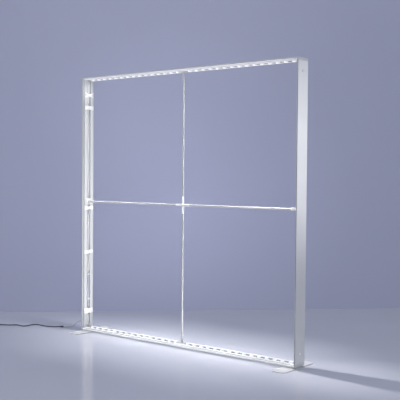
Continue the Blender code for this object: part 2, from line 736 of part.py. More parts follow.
def add_splice_bars(finish):
    """Adds the bar inside each joint of two profiles."""
    for side in ("top", "bottom", "left", "right"):
        low = (-SPLICE_LENGTH / 2, -SPLICE_WIDTH / 2, SEAT)
        high = (SPLICE_LENGTH / 2, SPLICE_WIDTH / 2, SEAT + SPLICE_THICKNESS)
        add_piece(f"splice_bar_{side}", box(low, high), finish, member(side))


def add_led_bars(carrier_finish, lens_finish):
    """Adds the carriers in the rails' channels and the strips of edge lenses on them."""
    half = CARRIER_WIDTH / 2
    inner = half - CARRIER_WALL
    under = CARRIER_TOP - CARRIER_WALL
    right = [(inner, under), (inner, SEAT), (half, SEAT), (half, CARRIER_TOP)]
    section = right + [(-y, z) for y, z in reversed(right)]
    for side in ("top", "bottom"):
        for name, sign in (("left", -1), ("right", 1)):
            where = half_member(side, sign)
            carrier = prism([section], SEAT_GAP / 2, CARRIER_END, ALONG_X)
            add_piece(f"led_carrier_{side}_{name}", carrier, carrier_finish, where)
            base = CARRIER_TOP + SEAT_GAP
            last = LENS_FROM_MIDDLE + (LENS_COUNT - 1) * LENS_PITCH
            low = (LENS_FROM_MIDDLE - STRIP_END_LENGTH, -STRIP_WIDTH / 2, base)
            high = (last + STRIP_END_LENGTH, STRIP_WIDTH / 2, base + STRIP_THICKNESS)
            strip = add_piece(f"led_lens_strip_{side}_{name}", box(low, high), lens_finish, where)
            add_tool(strip, lens_row(base + STRIP_THICKNESS / 2), "UNION")


def lens_row(bottom):
    """The row of lenses on a strip, each a block with a sloping crown."""
    bm = bmesh.new()
    for i in range(LENS_COUNT):
        x = LENS_FROM_MIDDLE + i * LENS_PITCH
        low = (x - LENS_LENGTH / 2, -LENS_WIDTH / 2, bottom)
        verts = add_box(bm, low, (x + LENS_LENGTH / 2, LENS_WIDTH / 2, LENS_SHOULDER))
        faces = {face for vert in verts for face in vert.link_faces}
        top = [face for face in faces if min(vert.co.z for vert in face.verts) > bottom]
        crown = bmesh.ops.extrude_face_region(bm, geom=top)["geom"]
        raised = [item for item in crown if isinstance(item, bmesh.types.BMVert)]
        bmesh.ops.delete(bm, geom=top, context="FACES_ONLY")
        for vert in raised:
            vert.co.x = x + (vert.co.x - x) * LENS_CROWN_SHARE
            vert.co.y *= LENS_CROWN_SHARE
            vert.co.z = LENS_TOP
    return bm


def add_tongues(piece, top):
    """Joins the two tongues that grip the channel's walls to a plate that lies across it."""
    bm = bmesh.new()
    outer = CHANNEL_WIDTH / 2 - SEAT_GAP
    for sign in (-1, 1):
        near, far = sorted((sign * (outer - TONGUE_THICKNESS), sign * outer))
        add_box(bm, (-TONGUE_LENGTH / 2, near, TONGUE_BOTTOM), (TONGUE_LENGTH / 2, far, top))
    add_tool(piece, bm, "UNION")


def add_brace(socket_finish, rod_finish):
    """Adds the four sockets, the four rods and the cross that the rods meet in."""
    plate_top = DECK_SEAT + SOCKET_PLATE_THICKNESS
    tube_top = plate_top + SOCKET_TUBE_LENGTH
    radius = SOCKET_TUBE_DIAMETER / 2
    ring = SOCKET_RING_DIAMETER / 2
    bore = ROD_DIAMETER / 2 + SEAT_GAP
    tube = [
        (radius + SOCKET_FLARE, DECK_SEAT + SOCKET_PLATE_THICKNESS / 2),
        (radius + SOCKET_FLARE, plate_top),
        (radius, plate_top + SOCKET_FLARE),
        (radius, tube_top - SOCKET_RING_LENGTH),
        (ring, tube_top - SOCKET_RING_LENGTH),
        (ring, tube_top),
        (bore, tube_top),
        (bore, SOCKET_BORE_BOTTOM),
    ]
    rail_plate = (RAIL_SOCKET_PLATE_LENGTH, RAIL_SOCKET_PLATE_WIDTH)
    upright_plate = (UPRIGHT_SOCKET_PLATE_LENGTH, UPRIGHT_SOCKET_PLATE_WIDTH)
    spots = {
        "top": (0, rail_plate, FRAME_TOP - BRACE_HEIGHT),
        "bottom": (0, rail_plate, BRACE_HEIGHT - FRAME_BOTTOM),
        "left": (BRACE_ABOVE_MIDDLE, upright_plate, WIDTH / 2),
        "right": (BRACE_ABOVE_MIDDLE, upright_plate, WIDTH / 2),
    }
    for side, (along, plate, reach) in spots.items():
        where = member(side) @ Matrix.Translation((along, 0, 0))
        outline = rounded(rectangle(*plate, SOCKET_PLATE_CORNER), CORNER_STEPS)
        body = prism([outline], DECK_SEAT, plate_top)
        socket = add_piece(f"brace_socket_{side}", body, socket_finish, where, smooth=True)
        add_tool(socket, turned(tube), "UNION")
        add_tongues(socket, DECK_SEAT + SOCKET_PLATE_THICKNESS / 2)
        end = reach - CROSS_SPAN / 2 + CROSS_INSERT - SEAT_GAP
        walls = [circle(ROD_DIAMETER), circle(ROD_DIAMETER - 2 * ROD_WALL)]
        rod = prism(walls, SOCKET_BORE_BOTTOM + SEAT_GAP, end)
        add_piece(f"brace_rod_{side}", rod, rod_finish, where, smooth=True)
    add_brace_cross(socket_finish, bore)


def add_brace_cross(finish, bore):
    """Adds the four-way connector, whose arms are bored for the rods."""
    half = CROSS_SPAN / 2
    sideways = Matrix.Rotation(math.pi / 2, 4, "Y")
    where = Matrix.Translation((0, 0, BRACE_HEIGHT))
    upright_arms = turned([(CROSS_DIAMETER / 2, -half), (CROSS_DIAMETER / 2, half)])
    cross = add_piece("brace_cross", upright_arms, finish, where, smooth=True)
    add_tool(cross, turned([(CROSS_DIAMETER / 2, -half), (CROSS_DIAMETER / 2, half)], sideways), "UNION")
    bores = bmesh.new()
    for turn in range(4):
        arm = Matrix.Rotation(turn * math.pi / 2, 4, "Y")
        add_cylinder(bores, 2 * bore, half - CROSS_INSERT, half + OVERRUN, arm)
    add_tool(cross, bores, "DIFFERENCE")


def add_feet(foot_finish, bolt_finish):
    """Adds the two foot plates with their spacer bosses, and the bolts that they turn on."""
    head_top = BOLT_HEAD_SINK + BOLT_HEAD_HEIGHT
    bolt = [
        (BOLT_HEAD_DIAMETER / 2, BOLT_HEAD_SINK),
        (BOLT_HEAD_DIAMETER / 2, head_top),
        (BOLT_DIAMETER / 2, head_top),
        (BOLT_DIAMETER / 2, FRAME_BOTTOM + RAIL_LEG_TOP),
    ]
    hole = [
        (BOLT_HEAD_DIAMETER / 2 + SEAT_GAP, -OVERRUN),
        (BOLT_HEAD_DIAMETER / 2 + SEAT_GAP, head_top + SEAT_GAP),
        (BOLT_DIAMETER / 2 + SEAT_GAP, head_top + SEAT_GAP),
        (BOLT_DIAMETER / 2 + SEAT_GAP, FRAME_BOTTOM + OVERRUN),
    ]
    for name, sign in (("left", -1), ("right", 1)):
        where = Matrix.Translation((sign * FOOT_FROM_MIDDLE, 0, 0))
        outline = rounded(rectangle(FOOT_WIDTH, FOOT_LENGTH, FOOT_CORNER), FOOT_CORNER_STEPS)
        plate = prism([outline], 0, FOOT_THICKNESS)
        high = [e for e in plate.edges if min(v.co.z for v in e.verts) > FOOT_THICKNESS / 2]
        rim = [e for e in high if is_corner(e)]
        bmesh.ops.bevel(plate, geom=rim, offset=FOOT_EDGE, segments=1, affect="EDGES")
        foot = add_piece(f"foot_{name}", plate, foot_finish, where, smooth=True)
        boss = bmesh.new()
        add_cylinder(boss, SPACER_DIAMETER, FOOT_THICKNESS / 2, FRAME_BOTTOM - SEAT_GAP)
        add_tool(foot, boss, "UNION")
        add_tool(foot, turned(hole), "DIFFERENCE")
        add_piece(f"foot_bolt_{name}", turned(bolt), bolt_finish, where, smooth=True)


def is_corner(edge):
    """Says whether the two faces of an edge meet at an angle."""
    first, second = edge.link_faces
    first.normal_update()
    second.normal_update()
    return abs(first.normal.dot(second.normal)) < math.cos(SHARP_ANGLE)


def add_driver(finish):
    """Adds the LED driver in the left upright's channel."""
    half = DRIVER_WIDTH / 2
    low = left_point(SEAT, DRIVER_OFFSET - half, DRIVER_BOTTOM)
    high = left_point(SEAT + DRIVER_THICKNESS, DRIVER_OFFSET + half, DRIVER_BOTTOM + DRIVER_LENGTH)
    body = box(low - (low + high) / 2, high - (low + high) / 2)
    bevel_all(body, DRIVER_ROUND)
    add_piece("led_driver", body, finish, Matrix.Translation((low + high) / 2))


def add_cable_clips(finish):
    """Adds the clips across the left upright's channel; the top one is a cross."""
    free = DRIVER_TOP + (SLEEVE_BOTTOM - DRIVER_TOP) * CLIP_FREE_SHARE
    heights = [HEIGHT - drop for drop in CLIP_FROM_TOP]
    heights += [HEIGHT / 2 - CLIP_BELOW_MIDDLE, free, CLIP_FROM_BOTTOM]
    for i, (height, length) in enumerate(zip(heights, CLIP_LENGTHS)):
        where = member("left") @ Matrix.Translation((height - HEIGHT / 2, 0, 0))
        outline = rounded(rectangle(length, CLIP_WIDTH, CLIP_CORNER), CORNER_STEPS)
        if i == 0:
            outline = cross_clip_outline(length / 2, CLIP_WIDTH / 2)
        clip = prism([outline], DECK_SEAT, DECK_SEAT + CLIP_THICKNESS)
        piece = add_piece(f"cable_clip_{i + 1}", clip, finish, where)
        add_tongues(piece, DECK_SEAT + CLIP_THICKNESS / 2)


def cross_clip_outline(half, side):
    """The outline of the cross-shaped clip, with notched ends and a waist."""
    waist = CROSS_CLIP_WAIST / 2
    quarter = [(waist, 0), (half, side), (half - CROSS_CLIP_ARM, side), (0, side - CROSS_CLIP_NOTCH)]
    upper = quarter + [(-x, y) for x, y in reversed(quarter[:-1])]
    lower = [(x, -y) for x, y in reversed(upper[1:-1])]
    return upper + lower


def add_gland(finish):
    """Adds the bush in the left upright's web, with the ridged strain relief of the supply lead."""
    collar_top = SEAT_GAP + GLAND_COLLAR_THICKNESS
    outline = [
        (GLAND_STEM_DIAMETER / 2, -GLAND_STEM_END),
        (GLAND_STEM_DIAMETER / 2, SEAT_GAP),
        (GLAND_COLLAR_DIAMETER / 2, SEAT_GAP),
        (GLAND_COLLAR_DIAMETER / 2, collar_top),
    ]
    steps = RIDGE_STEPS * RELIEF_RIDGES
    for i in range(steps + 1):
        share = i / steps
        radius = (RELIEF_DIAMETER * (1 - share) + RELIEF_END_DIAMETER * share) / 2
        groove = RELIEF_GROOVE if i % RIDGE_STEPS in (1, 2) else 0
        outline.append((radius - groove, collar_top + RELIEF_LENGTH * share))
    where = place(left_point(0, GLAND_DEPTH, GLAND_HEIGHT), (0, 0, 1), (-1, 0, 0))
    add_piece("lead_gland", turned(outline, sides=TURNED_SIDES // 2), finish, where, smooth=True)


def raised(rows, origin, scale=1.0):
    """The points in the left upright's channel of rows whose heights count from another height."""
    return [left_point(inward, depth, origin + height * scale) for inward, depth, height in rows]


def loom_route():
    """The loom's route from the lower LED bar to the upper one."""
    first = HEIGHT / 2 + LOOM_MIDDLE[-1][2]
    last = HEIGHT + LOOM_HIGH[0][2]
    return [
        *raised(LOOM_LOW, 0),
        *raised(LOOM_FREE_SHARES, DRIVER_TOP, SLEEVE_BOTTOM - DRIVER_TOP),
        *raised(LOOM_MIDDLE, HEIGHT / 2),
        *raised(LOOM_UPPER_SHARES, first, last - first),
        *raised(LOOM_HIGH, HEIGHT),
    ]


def tail_route():
    """The route of the driver's tail up to the loom's sleeve."""
    inward, depth, height = TAIL_FREE_SHARES[0]
    start = left_point(inward, depth, DRIVER_TOP + SEAT_GAP)
    loops = raised(TAIL_FREE_SHARES, DRIVER_TOP, SLEEVE_BOTTOM - DRIVER_TOP)
    return [start, *loops, *raised(TAIL_END, HEIGHT / 2)]


def input_route():
    """The route of the driver's input lead, from the bush to the driver."""
    turn = [left_point(inward, GLAND_DEPTH, GLAND_HEIGHT + above) for inward, above in INPUT_TURN]
    rise = raised(INPUT_RISE_SHARES, GLAND_HEIGHT, DRIVER_BOTTOM - SEAT_GAP - GLAND_HEIGHT)
    return turn + rise


def add_wiring(loom_finish, lead_finish):
    """Adds the loom with its tail and sleeve, and the driver's input lead, in the left upright."""
    loom = turning_points(smooth_route(loom_route()), LOOM_TURN, LOOM_STEP)
    tail = turning_points(smooth_route(tail_route()), LOOM_TURN, LOOM_STEP)
    body = tube_bmesh(loom, LOOM_DIAMETER)
    run = add_piece("cable_loom", body, loom_finish, Matrix.Identity(4), smooth=True)
    radius = SLEEVE_DIAMETER / 2
    outline = [
        (radius - SLEEVE_ROUND, 0),
        (radius, SLEEVE_ROUND),
        (radius, SLEEVE_LENGTH - SLEEVE_ROUND),
        (radius - SLEEVE_ROUND, SLEEVE_LENGTH),
    ]
    spot = Matrix.Translation(left_point(SLEEVE_RISE, 0, SLEEVE_BOTTOM))
    add_tool(run, turned(outline, spot, TURNED_SIDES // 2), "UNION")
    add_tool(run, tube_bmesh(tail, LOOM_DIAMETER), "UNION")
    lead = turning_points(smooth_route(input_route()), LOOM_TURN, LOOM_STEP)
    add_cord("driver_input_lead", lead, LEAD_DIAMETER, CORD_RESOLUTION, lead_finish)


def inline_frame():
    """The frame of the joint of socket and connector: z runs along them towards the mains cord."""
    return place((*INLINE_JOINT, INLINE_HEIGHT), UP, INLINE_HEADING)


def add_inline_joint(socket_finish, connector_finish):
    """Adds the grey socket on the supply lead and the black connector whose nose sits in it."""
    body = SOCKET_DIAMETER / 2
    front = -SEAT_GAP / 2
    socket = [
        (SOCKET_TAIL_DIAMETER / 2 - INLINE_ROUND, front - SOCKET_LENGTH),
        (SOCKET_TAIL_DIAMETER / 2, front - SOCKET_LENGTH + INLINE_ROUND),
        (body - INLINE_ROUND, front - SOCKET_LENGTH + SOCKET_TAPER),
        (body, front - SOCKET_LENGTH + SOCKET_TAPER + INLINE_ROUND),
        (body, front - INLINE_ROUND),
        (body - INLINE_ROUND, front),
        (SOCKET_BORE_DIAMETER / 2, front),
        (SOCKET_BORE_DIAMETER / 2, front - SOCKET_BORE_DEPTH),
    ]
    back = SEAT_GAP / 2
    nose = SOCKET_BORE_DIAMETER / 2 - SEAT_GAP
    connector = [
        (nose, front - SOCKET_BORE_DEPTH + SEAT_GAP),
        (nose, back),
        (body - INLINE_ROUND, back),
        (body, back + INLINE_ROUND),
        (body, back + CONNECTOR_BAND),
        (body - INLINE_ROUND, back + CONNECTOR_BAND + INLINE_ROUND),
        (body - INLINE_ROUND, back + CONNECTOR_LENGTH - CONNECTOR_TAPER),
        (CONNECTOR_NECK_DIAMETER / 2, back + CONNECTOR_LENGTH),
    ]
    add_piece("lead_socket", turned(socket), socket_finish, inline_frame(), smooth=True)
    add_piece("cord_connector", turned(connector), connector_finish, inline_frame(), smooth=True)


def add_supply_lead(finish):
    """Adds the grey lead from its strain relief to the socket, which it enters straight."""
    rear = SEAT_GAP / 2 + SOCKET_LENGTH
    end = inline_frame() @ Vector((0, 0, -rear - SEAT_GAP))
    route = [*LEAD_ROUTE, end - INLINE_HEADING * LEAD_DIAMETER, end]
    points = even_points(smooth_route(route), LEAD_STEP)
    add_cord("supply_lead", points, LEAD_DIAMETER, CORD_RESOLUTION, finish)


def coil_points():
    """The coil's points: it spirals in on the floor, climbs as it turns back and spirals out on top."""
    centre = Vector((*COIL_CENTRE, COIL_BOTTOM))
    whole = math.tau * COIL_TURNS
    points = []
    for i in range(COIL_TURNS * COIL_POINTS + 1):
        turn = whole * i / (COIL_TURNS * COIL_POINTS)
        radius = COIL_INNER_RADIUS + COIL_PITCH * abs(turn - whole / 2) / math.tau
        climb = min(1.0, max(0.0, (turn - whole / 2) / math.pi + 0.5))
        lift = COIL_PITCH * climb * climb * (3 - 2 * climb)
        angle = COIL_START + turn
        points.append(centre + Vector((radius * math.cos(angle), radius * math.sin(angle), lift)))
    return points


def least_gap(points, diameter):
    """The least distance between turns of a coil, measured on points half a turn or more apart."""
    apart = COIL_POINTS // 2
    pairs = ((a, b) for i, a in enumerate(points) for b in points[i + apart:])
    return min((a - b).length for a, b in pairs) - diameter


def add_mains_cord(finish, plug_finish):
    """Adds the black cord along the floor, its coil, and the plug at the coil's end."""
    heading = Vector((-math.sin(COIL_START), math.cos(COIL_START), 0.0))
    coil = coil_points()
    entry = coil[0] - heading * CORD_DIAMETER
    rear = SEAT_GAP / 2 + CONNECTOR_LENGTH
    start = inline_frame() @ Vector((0, 0, rear + SEAT_GAP))
    end = entry - heading * SEAT_GAP
    route = [start, start + INLINE_HEADING * CORD_DIAMETER, *CORD_ROUTE, end - heading * CORD_DIAMETER, end]
    points = even_points(smooth_route(route), CORD_STEP)
    add_cord("mains_cord", points, CORD_DIAMETER, CORD_RESOLUTION, finish)
    rise = UP * (PLUG_HEIGHT - coil[-1].z)
    exit_point = coil[-1] + heading * COIL_TAIL + rise
    tail = [coil[-1] + heading * CORD_DIAMETER, exit_point - heading * CORD_DIAMETER, exit_point]
    add_cord("mains_cord_coil", [entry, *coil, *tail], CORD_DIAMETER, COIL_RESOLUTION, finish)
    print("least gap of the coil to itself, mm:", round(1000 * least_gap(coil, CORD_DIAMETER), 3))
    add_plug(place(exit_point + heading * SEAT_GAP, UP, heading), plug_finish)


def add_plug(where, finish):
    """Adds the plug: a ridged relief, a grip, a round face with two flats, and two pins."""
    grip = PLUG_RELIEF_LENGTH + PLUG_GRIP_LENGTH
    face = grip + PLUG_FACE_LENGTH
    outline = [
        (PLUG_RELIEF_DIAMETER / 2, 0),
        (PLUG_NECK_DIAMETER / 2, PLUG_RELIEF_LENGTH),
        (PLUG_GRIP_DIAMETER / 2, PLUG_RELIEF_LENGTH + PLUG_GRIP_LENGTH / 2),
        (PLUG_GRIP_DIAMETER / 2, grip),
        (PLUG_FACE_DIAMETER / 2, grip + PIN_ROUND),
        (PLUG_FACE_DIAMETER / 2, face - PIN_ROUND),
        (PLUG_FACE_DIAMETER / 2 - PIN_ROUND, face),
    ]
    plug = add_piece("mains_plug", turned(outline), finish, where, smooth=True)
    flats = bmesh.new()
    for sign in (-1, 1):
        near, far = sorted((sign * PLUG_FLAT_HEIGHT / 2, sign * PLUG_FACE_DIAMETER))
        low = (near, -PLUG_FACE_DIAMETER, -OVERRUN)
        add_box(flats, low, (far, PLUG_FACE_DIAMETER, face + OVERRUN))
    add_tool(plug, flats, "DIFFERENCE")
    pins = bmesh.new()
    radius = PIN_DIAMETER / 2
    for sign in (-1, 1):
        spot = Matrix.Translation((0, sign * PIN_SPACING / 2, 0))
        tip = face + PIN_LENGTH
        pin = [(radius, face - OVERRUN), (radius, tip - PIN_ROUND), (radius - PIN_ROUND, tip)]
        add_turned(pins, pin, spot, TURNED_SIDES // 2)
    add_tool(plug, pins, "UNION")


def build():
    """Builds the whole wall under one empty at the origin."""
    clear_scene()
    wall = bpy.data.objects.new("wall", None)
    bpy.context.collection.objects.link(wall)
    aluminium = make_material("frame_aluminium", (0.72, 0.73, 0.78), 0.35, 0.6)
    moulding = make_material("corner_moulding", (0.74, 0.75, 0.79), 0.45)
    button = make_material("button_cream", (0.72, 0.66, 0.55), 0.45)
    spring = make_material("spring_steel", (0.55, 0.56, 0.6), 0.3, 1.0)
    splice = make_material("splice_aluminium", (0.6, 0.61, 0.64), 0.4, 0.8)
    carrier = make_material("carrier_aluminium", (0.34, 0.35, 0.4), 0.5, 0.5)
    lens = make_material("lens_plastic", (0.75, 0.77, 0.82), 0.2)
    brace = make_material("brace_moulding", (0.76, 0.77, 0.8), 0.4)
    rod = make_material("brace_tube", (0.74, 0.75, 0.8), 0.35, 0.4)
    foot = make_material("foot_steel", (0.75, 0.76, 0.8), 0.4, 0.2)
    bolt = make_material("bolt_steel", (0.5, 0.5, 0.53), 0.3, 1.0)
    driver = make_material("driver_case", (0.66, 0.67, 0.72), 0.4, 0.5)
    clip = make_material("clip_plastic", (0.78, 0.79, 0.82), 0.45)
    wire = make_material("wire_jacket", (0.8, 0.8, 0.82), 0.5)
    grey = make_material("lead_grey", (0.45, 0.46, 0.5), 0.5)
    socket = make_material("socket_grey", (0.62, 0.63, 0.66), 0.45)
    black = make_material("cord_black", (0.02, 0.02, 0.025), 0.5)
    add_rails(aluminium)
    add_uprights(aluminium)
    add_corner_connectors(moulding)
    add_buttons(button, spring)
    add_splice_bars(splice)
    add_led_bars(carrier, lens)
    add_brace(brace, rod)
    add_feet(foot, bolt)
    add_driver(driver)
    add_cable_clips(clip)
    add_gland(grey)
    add_wiring(wire, grey)
    add_supply_lead(grey)
    add_inline_joint(socket, black)
    add_mains_cord(black, black)


build()
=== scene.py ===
# %% [markdown]
# # A lightbox display wall, shown without its fabric
#
# The object is a square aluminium frame, 2 m by 2 m and 120 mm deep, that lights a stretched print
# from rows of LED lenses in its top and bottom members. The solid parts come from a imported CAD
# model, which stays as it is. This lesson gives them real finishes, replaces the moulded, electrical
# and flexible pieces with fuller ones, and sets up the camera, the studio and the light. All lengths
# are in metres.

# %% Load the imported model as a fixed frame
import json
import math

import bmesh
import bpy
from mathutils import Matrix, Vector

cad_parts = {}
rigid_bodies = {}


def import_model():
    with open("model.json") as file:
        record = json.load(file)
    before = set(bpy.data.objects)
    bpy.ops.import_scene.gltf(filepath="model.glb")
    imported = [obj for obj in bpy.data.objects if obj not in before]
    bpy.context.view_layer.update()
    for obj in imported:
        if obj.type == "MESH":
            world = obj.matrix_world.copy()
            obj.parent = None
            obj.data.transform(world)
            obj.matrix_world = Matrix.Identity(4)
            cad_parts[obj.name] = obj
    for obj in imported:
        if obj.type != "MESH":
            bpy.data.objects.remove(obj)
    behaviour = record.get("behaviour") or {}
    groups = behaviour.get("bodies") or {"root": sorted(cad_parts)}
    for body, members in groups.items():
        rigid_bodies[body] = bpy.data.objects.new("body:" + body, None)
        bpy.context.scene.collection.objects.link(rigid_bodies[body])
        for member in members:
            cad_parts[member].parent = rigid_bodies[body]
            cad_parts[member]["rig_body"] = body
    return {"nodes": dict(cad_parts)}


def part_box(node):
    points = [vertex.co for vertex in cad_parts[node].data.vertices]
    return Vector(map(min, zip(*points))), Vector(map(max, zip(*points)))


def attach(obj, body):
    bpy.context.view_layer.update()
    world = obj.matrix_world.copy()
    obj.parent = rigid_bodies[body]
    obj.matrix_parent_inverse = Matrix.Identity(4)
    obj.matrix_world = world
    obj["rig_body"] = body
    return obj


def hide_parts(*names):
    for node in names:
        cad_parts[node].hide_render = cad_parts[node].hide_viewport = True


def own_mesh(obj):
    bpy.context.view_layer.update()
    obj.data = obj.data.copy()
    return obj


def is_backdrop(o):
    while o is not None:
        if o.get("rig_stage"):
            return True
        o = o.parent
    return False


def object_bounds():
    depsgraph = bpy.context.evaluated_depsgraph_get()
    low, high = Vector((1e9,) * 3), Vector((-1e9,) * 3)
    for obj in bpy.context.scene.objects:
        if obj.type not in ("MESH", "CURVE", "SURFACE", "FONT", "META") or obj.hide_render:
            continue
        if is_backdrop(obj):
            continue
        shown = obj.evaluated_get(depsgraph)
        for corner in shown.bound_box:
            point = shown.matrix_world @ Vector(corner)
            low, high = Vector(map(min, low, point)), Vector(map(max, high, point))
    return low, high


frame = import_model()
nodes = frame["nodes"]
cad_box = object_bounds()
scene = bpy.context.scene
print("CAD nodes:", len(nodes))

# %% [markdown]
# ## The camera
#
# The photograph was taken from the right of the wall and a little above its middle, with a long
# lens. Fitting a camera to the frame's straight edges gave its place, its three angles and its focal
# length in pixels. Writing the angles as a rotation matrix, instead of aiming with a constraint,
# keeps the slight roll of the photograph.

# %% Camera at the photograph's place
PICTURE_PIXELS = 400
SENSOR_MM = 36
FOCAL_PIXELS = 808.9
CAMERA_PLACE = Vector((3.7549, -4.4836, 1.2512))
YAW, PITCH, ROLL = (math.radians(angle) for angle in (38.737, 1.760, -0.4589))


def camera_axes():
    """The photograph's right, down and forward directions in the world."""
    forward = Vector((-math.sin(YAW) * math.cos(PITCH), math.cos(YAW) * math.cos(PITCH), -math.sin(PITCH)))
    level = Vector((math.cos(YAW), math.sin(YAW), 0))
    sunk = forward.cross(level)
    right = math.cos(ROLL) * level + math.sin(ROLL) * sunk
    down = math.cos(ROLL) * sunk - math.sin(ROLL) * level
    return right, down, forward


def add_object(name, data):
    """A new object in the scene."""
    made = bpy.data.objects.new(name, data)
    scene.collection.objects.link(made)
    return made


view_right, view_down, view_forward = camera_axes()
lens_data = bpy.data.cameras.new("photo_camera")
lens_data.sensor_width = SENSOR_MM
lens_data.lens = SENSOR_MM * FOCAL_PIXELS / PICTURE_PIXELS
camera = add_object("photo_camera", lens_data)
turn = Matrix((view_right, -view_down, -view_forward)).transposed().to_4x4()
camera.matrix_world = Matrix.Translation(CAMERA_PLACE) @ turn
scene.camera = camera
scene.view_settings.view_transform = "Standard"
print("lens, mm:", round(lens_data.lens, 2))

# %% [markdown]
# ## Routes of the wires and cords
#
# A flexible cord is a line first and a tube second. Each route below is the one that the CAD model
# uses, so that the finished cord lies where its solid lies. A Catmull-Rom curve passes through every
# point of a route, which suits points that were measured; a Bezier curve would need handles too.

# %% Smooth lines through measured points
FRAME_BOTTOM = 0.012
WALL_HEIGHT = 2.0
LEFT_FACE = -1.0


def smooth_line(points, steps=16):
    """Fine points along the centripetal Catmull-Rom curve through a route."""
    knots = [Vector(point) for point in points]
    knots = [2 * knots[0] - knots[1], *knots, 2 * knots[-1] - knots[-2]]
    fine = []
    for a, b, c, d in zip(knots, knots[1:], knots[2:], knots[3:]):
        t1 = math.sqrt((b - a).length)
        t2 = t1 + math.sqrt((c - b).length)
        t3 = t2 + math.sqrt((d - c).length)
        for k in range(steps):
            t = t1 + (t2 - t1) * k / steps
            ab = a.lerp(b, t / t1)
            bc = b.lerp(c, (t - t1) / (t2 - t1))
            cd = c.lerp(d, (t - t2) / (t3 - t2))
            fine.append(ab.lerp(bc, t / t2).lerp(bc.lerp(cd, (t - t1) / (t3 - t1)), (t - t1) / (t2 - t1)))
    return fine + [knots[-2]]


def line_length(points):
    """The length of a line of points, in metres."""
    return sum((b - a).length for a, b in zip(points, points[1:]))


def even_line(points, step):
    """The same line with its points at even steps."""
    count = max(2, round(line_length(points) / step))
    wanted = [line_length(points) * k / count for k in range(1, count)]
    found = [points[0]]
    run = 0.0
    for a, b in zip(points, points[1:]):
        piece = (b - a).length
        while wanted and wanted[0] <= run + piece:
            found.append(a.lerp(b, (wanted.pop(0) - run) / piece))
        run += piece
    return found + [points[-1]]


def in_left_upright(rows, origin, scale=1.0):
    """World points from (inward, depth, height) rows in the left upright's channel."""
    return [Vector((LEFT_FACE + a, b, FRAME_BOTTOM + origin + c * scale)) for a, b, c in rows]


# %% [markdown]
# The mains cord lies on the floor in the loose curves that the photograph shows. What the picture
# doesn't show of it is wound into a flat coil of two layers, just outside the view.

# %% Route of the mains cord and its coil
CORD_DIAMETER = 0.007
JOINT_PLACE = Vector((-1.2221, -0.0471, 0.0068))
JOINT_HEADING = Vector((math.cos(math.radians(225)), math.sin(math.radians(225)), 0))
CONNECTOR_LENGTH = 0.03
END_GAP = 0.00045
CORD_ROUTE = [
    (-1.2640, -0.0860, 0.0055), (-1.2850, -0.0990, 0.0042), (-1.3120, -0.1090, 0.0038),
    (-1.3420, -0.1170, 0.0038), (-1.3750, -0.1210, 0.0038), (-1.4100, -0.1200, 0.0038),
    (-1.4420, -0.1180, 0.0038), (-1.4700, -0.1240, 0.0038), (-1.4870, -0.1420, 0.0038),
    (-1.4900, -0.1660, 0.0038), (-1.4840, -0.1920, 0.0038), (-1.4830, -0.2180, 0.0038),
    (-1.4960, -0.2390, 0.0038), (-1.5210, -0.2450, 0.0038), (-1.5480, -0.2390, 0.0038),
    (-1.5740, -0.2400, 0.0038), (-1.5930, -0.2560, 0.0038), (-1.6060, -0.2770, 0.0038),
    (-1.6260, -0.2930, 0.0038), (-1.6530, -0.3030, 0.0038), (-1.6820, -0.3150, 0.0038),
    (-1.7080, -0.3280, 0.0038),
]
COIL_CENTRE = Vector((-1.7222, -0.3950, 0.0038))
COIL_TURNS = 7
COIL_PITCH = 0.0075
COIL_START = math.radians(111.7)
COIL_INNER_RADIUS = 0.0415 - COIL_TURNS * COIL_PITCH / 4
COIL_TAIL = 0.04
PLUG_HEIGHT = 0.0133
FLOOR_STEP, TAIL_STEP = 0.012, 0.008


def coil_line(points_each_turn=36):
    """The coil: it spirals in on the floor, climbs as it turns back and spirals out on top."""
    whole = math.tau * COIL_TURNS
    line = []
    for i in range(COIL_TURNS * points_each_turn + 1):
        angle = whole * i / (COIL_TURNS * points_each_turn)
        radius = COIL_INNER_RADIUS + COIL_PITCH * abs(angle - whole / 2) / math.tau
        climb = min(1.0, max(0.0, (angle - whole / 2) / math.pi + 0.5))
        lift = COIL_PITCH * climb * climb * (3 - 2 * climb)
        around = COIL_START + angle
        line.append(COIL_CENTRE + Vector((radius * math.cos(around), radius * math.sin(around), lift)))
    return line


coil = coil_line()
coil_heading = Vector((-math.sin(COIL_START), math.cos(COIL_START), 0))
coil_lead_in = coil_heading * CORD_DIAMETER
cord_start = JOINT_PLACE + JOINT_HEADING * (CONNECTOR_LENGTH + END_GAP)
entry = coil[0] - coil_lead_in
floor_run = [cord_start, cord_start + JOINT_HEADING * CORD_DIAMETER, *CORD_ROUTE, entry - coil_lead_in, entry]
plug_entry = coil[-1] + coil_heading * COIL_TAIL + Vector((0, 0, PLUG_HEIGHT - coil[-1].z))
tail_run = [coil[-1], coil[-1] + coil_lead_in, plug_entry - coil_lead_in, plug_entry]
mains_line = even_line(smooth_line(floor_run), FLOOR_STEP) + coil
mains_line += even_line(smooth_line(tail_run), TAIL_STEP)[1:]
print("mains cord, m:", round(line_length(mains_line), 3))

# %% [markdown]
# The thin grey lead comes out of a bush low in the left upright's outer face, sags to the floor and
# ends in a light grey socket. The photograph shows all of it, so its length is the route's length.

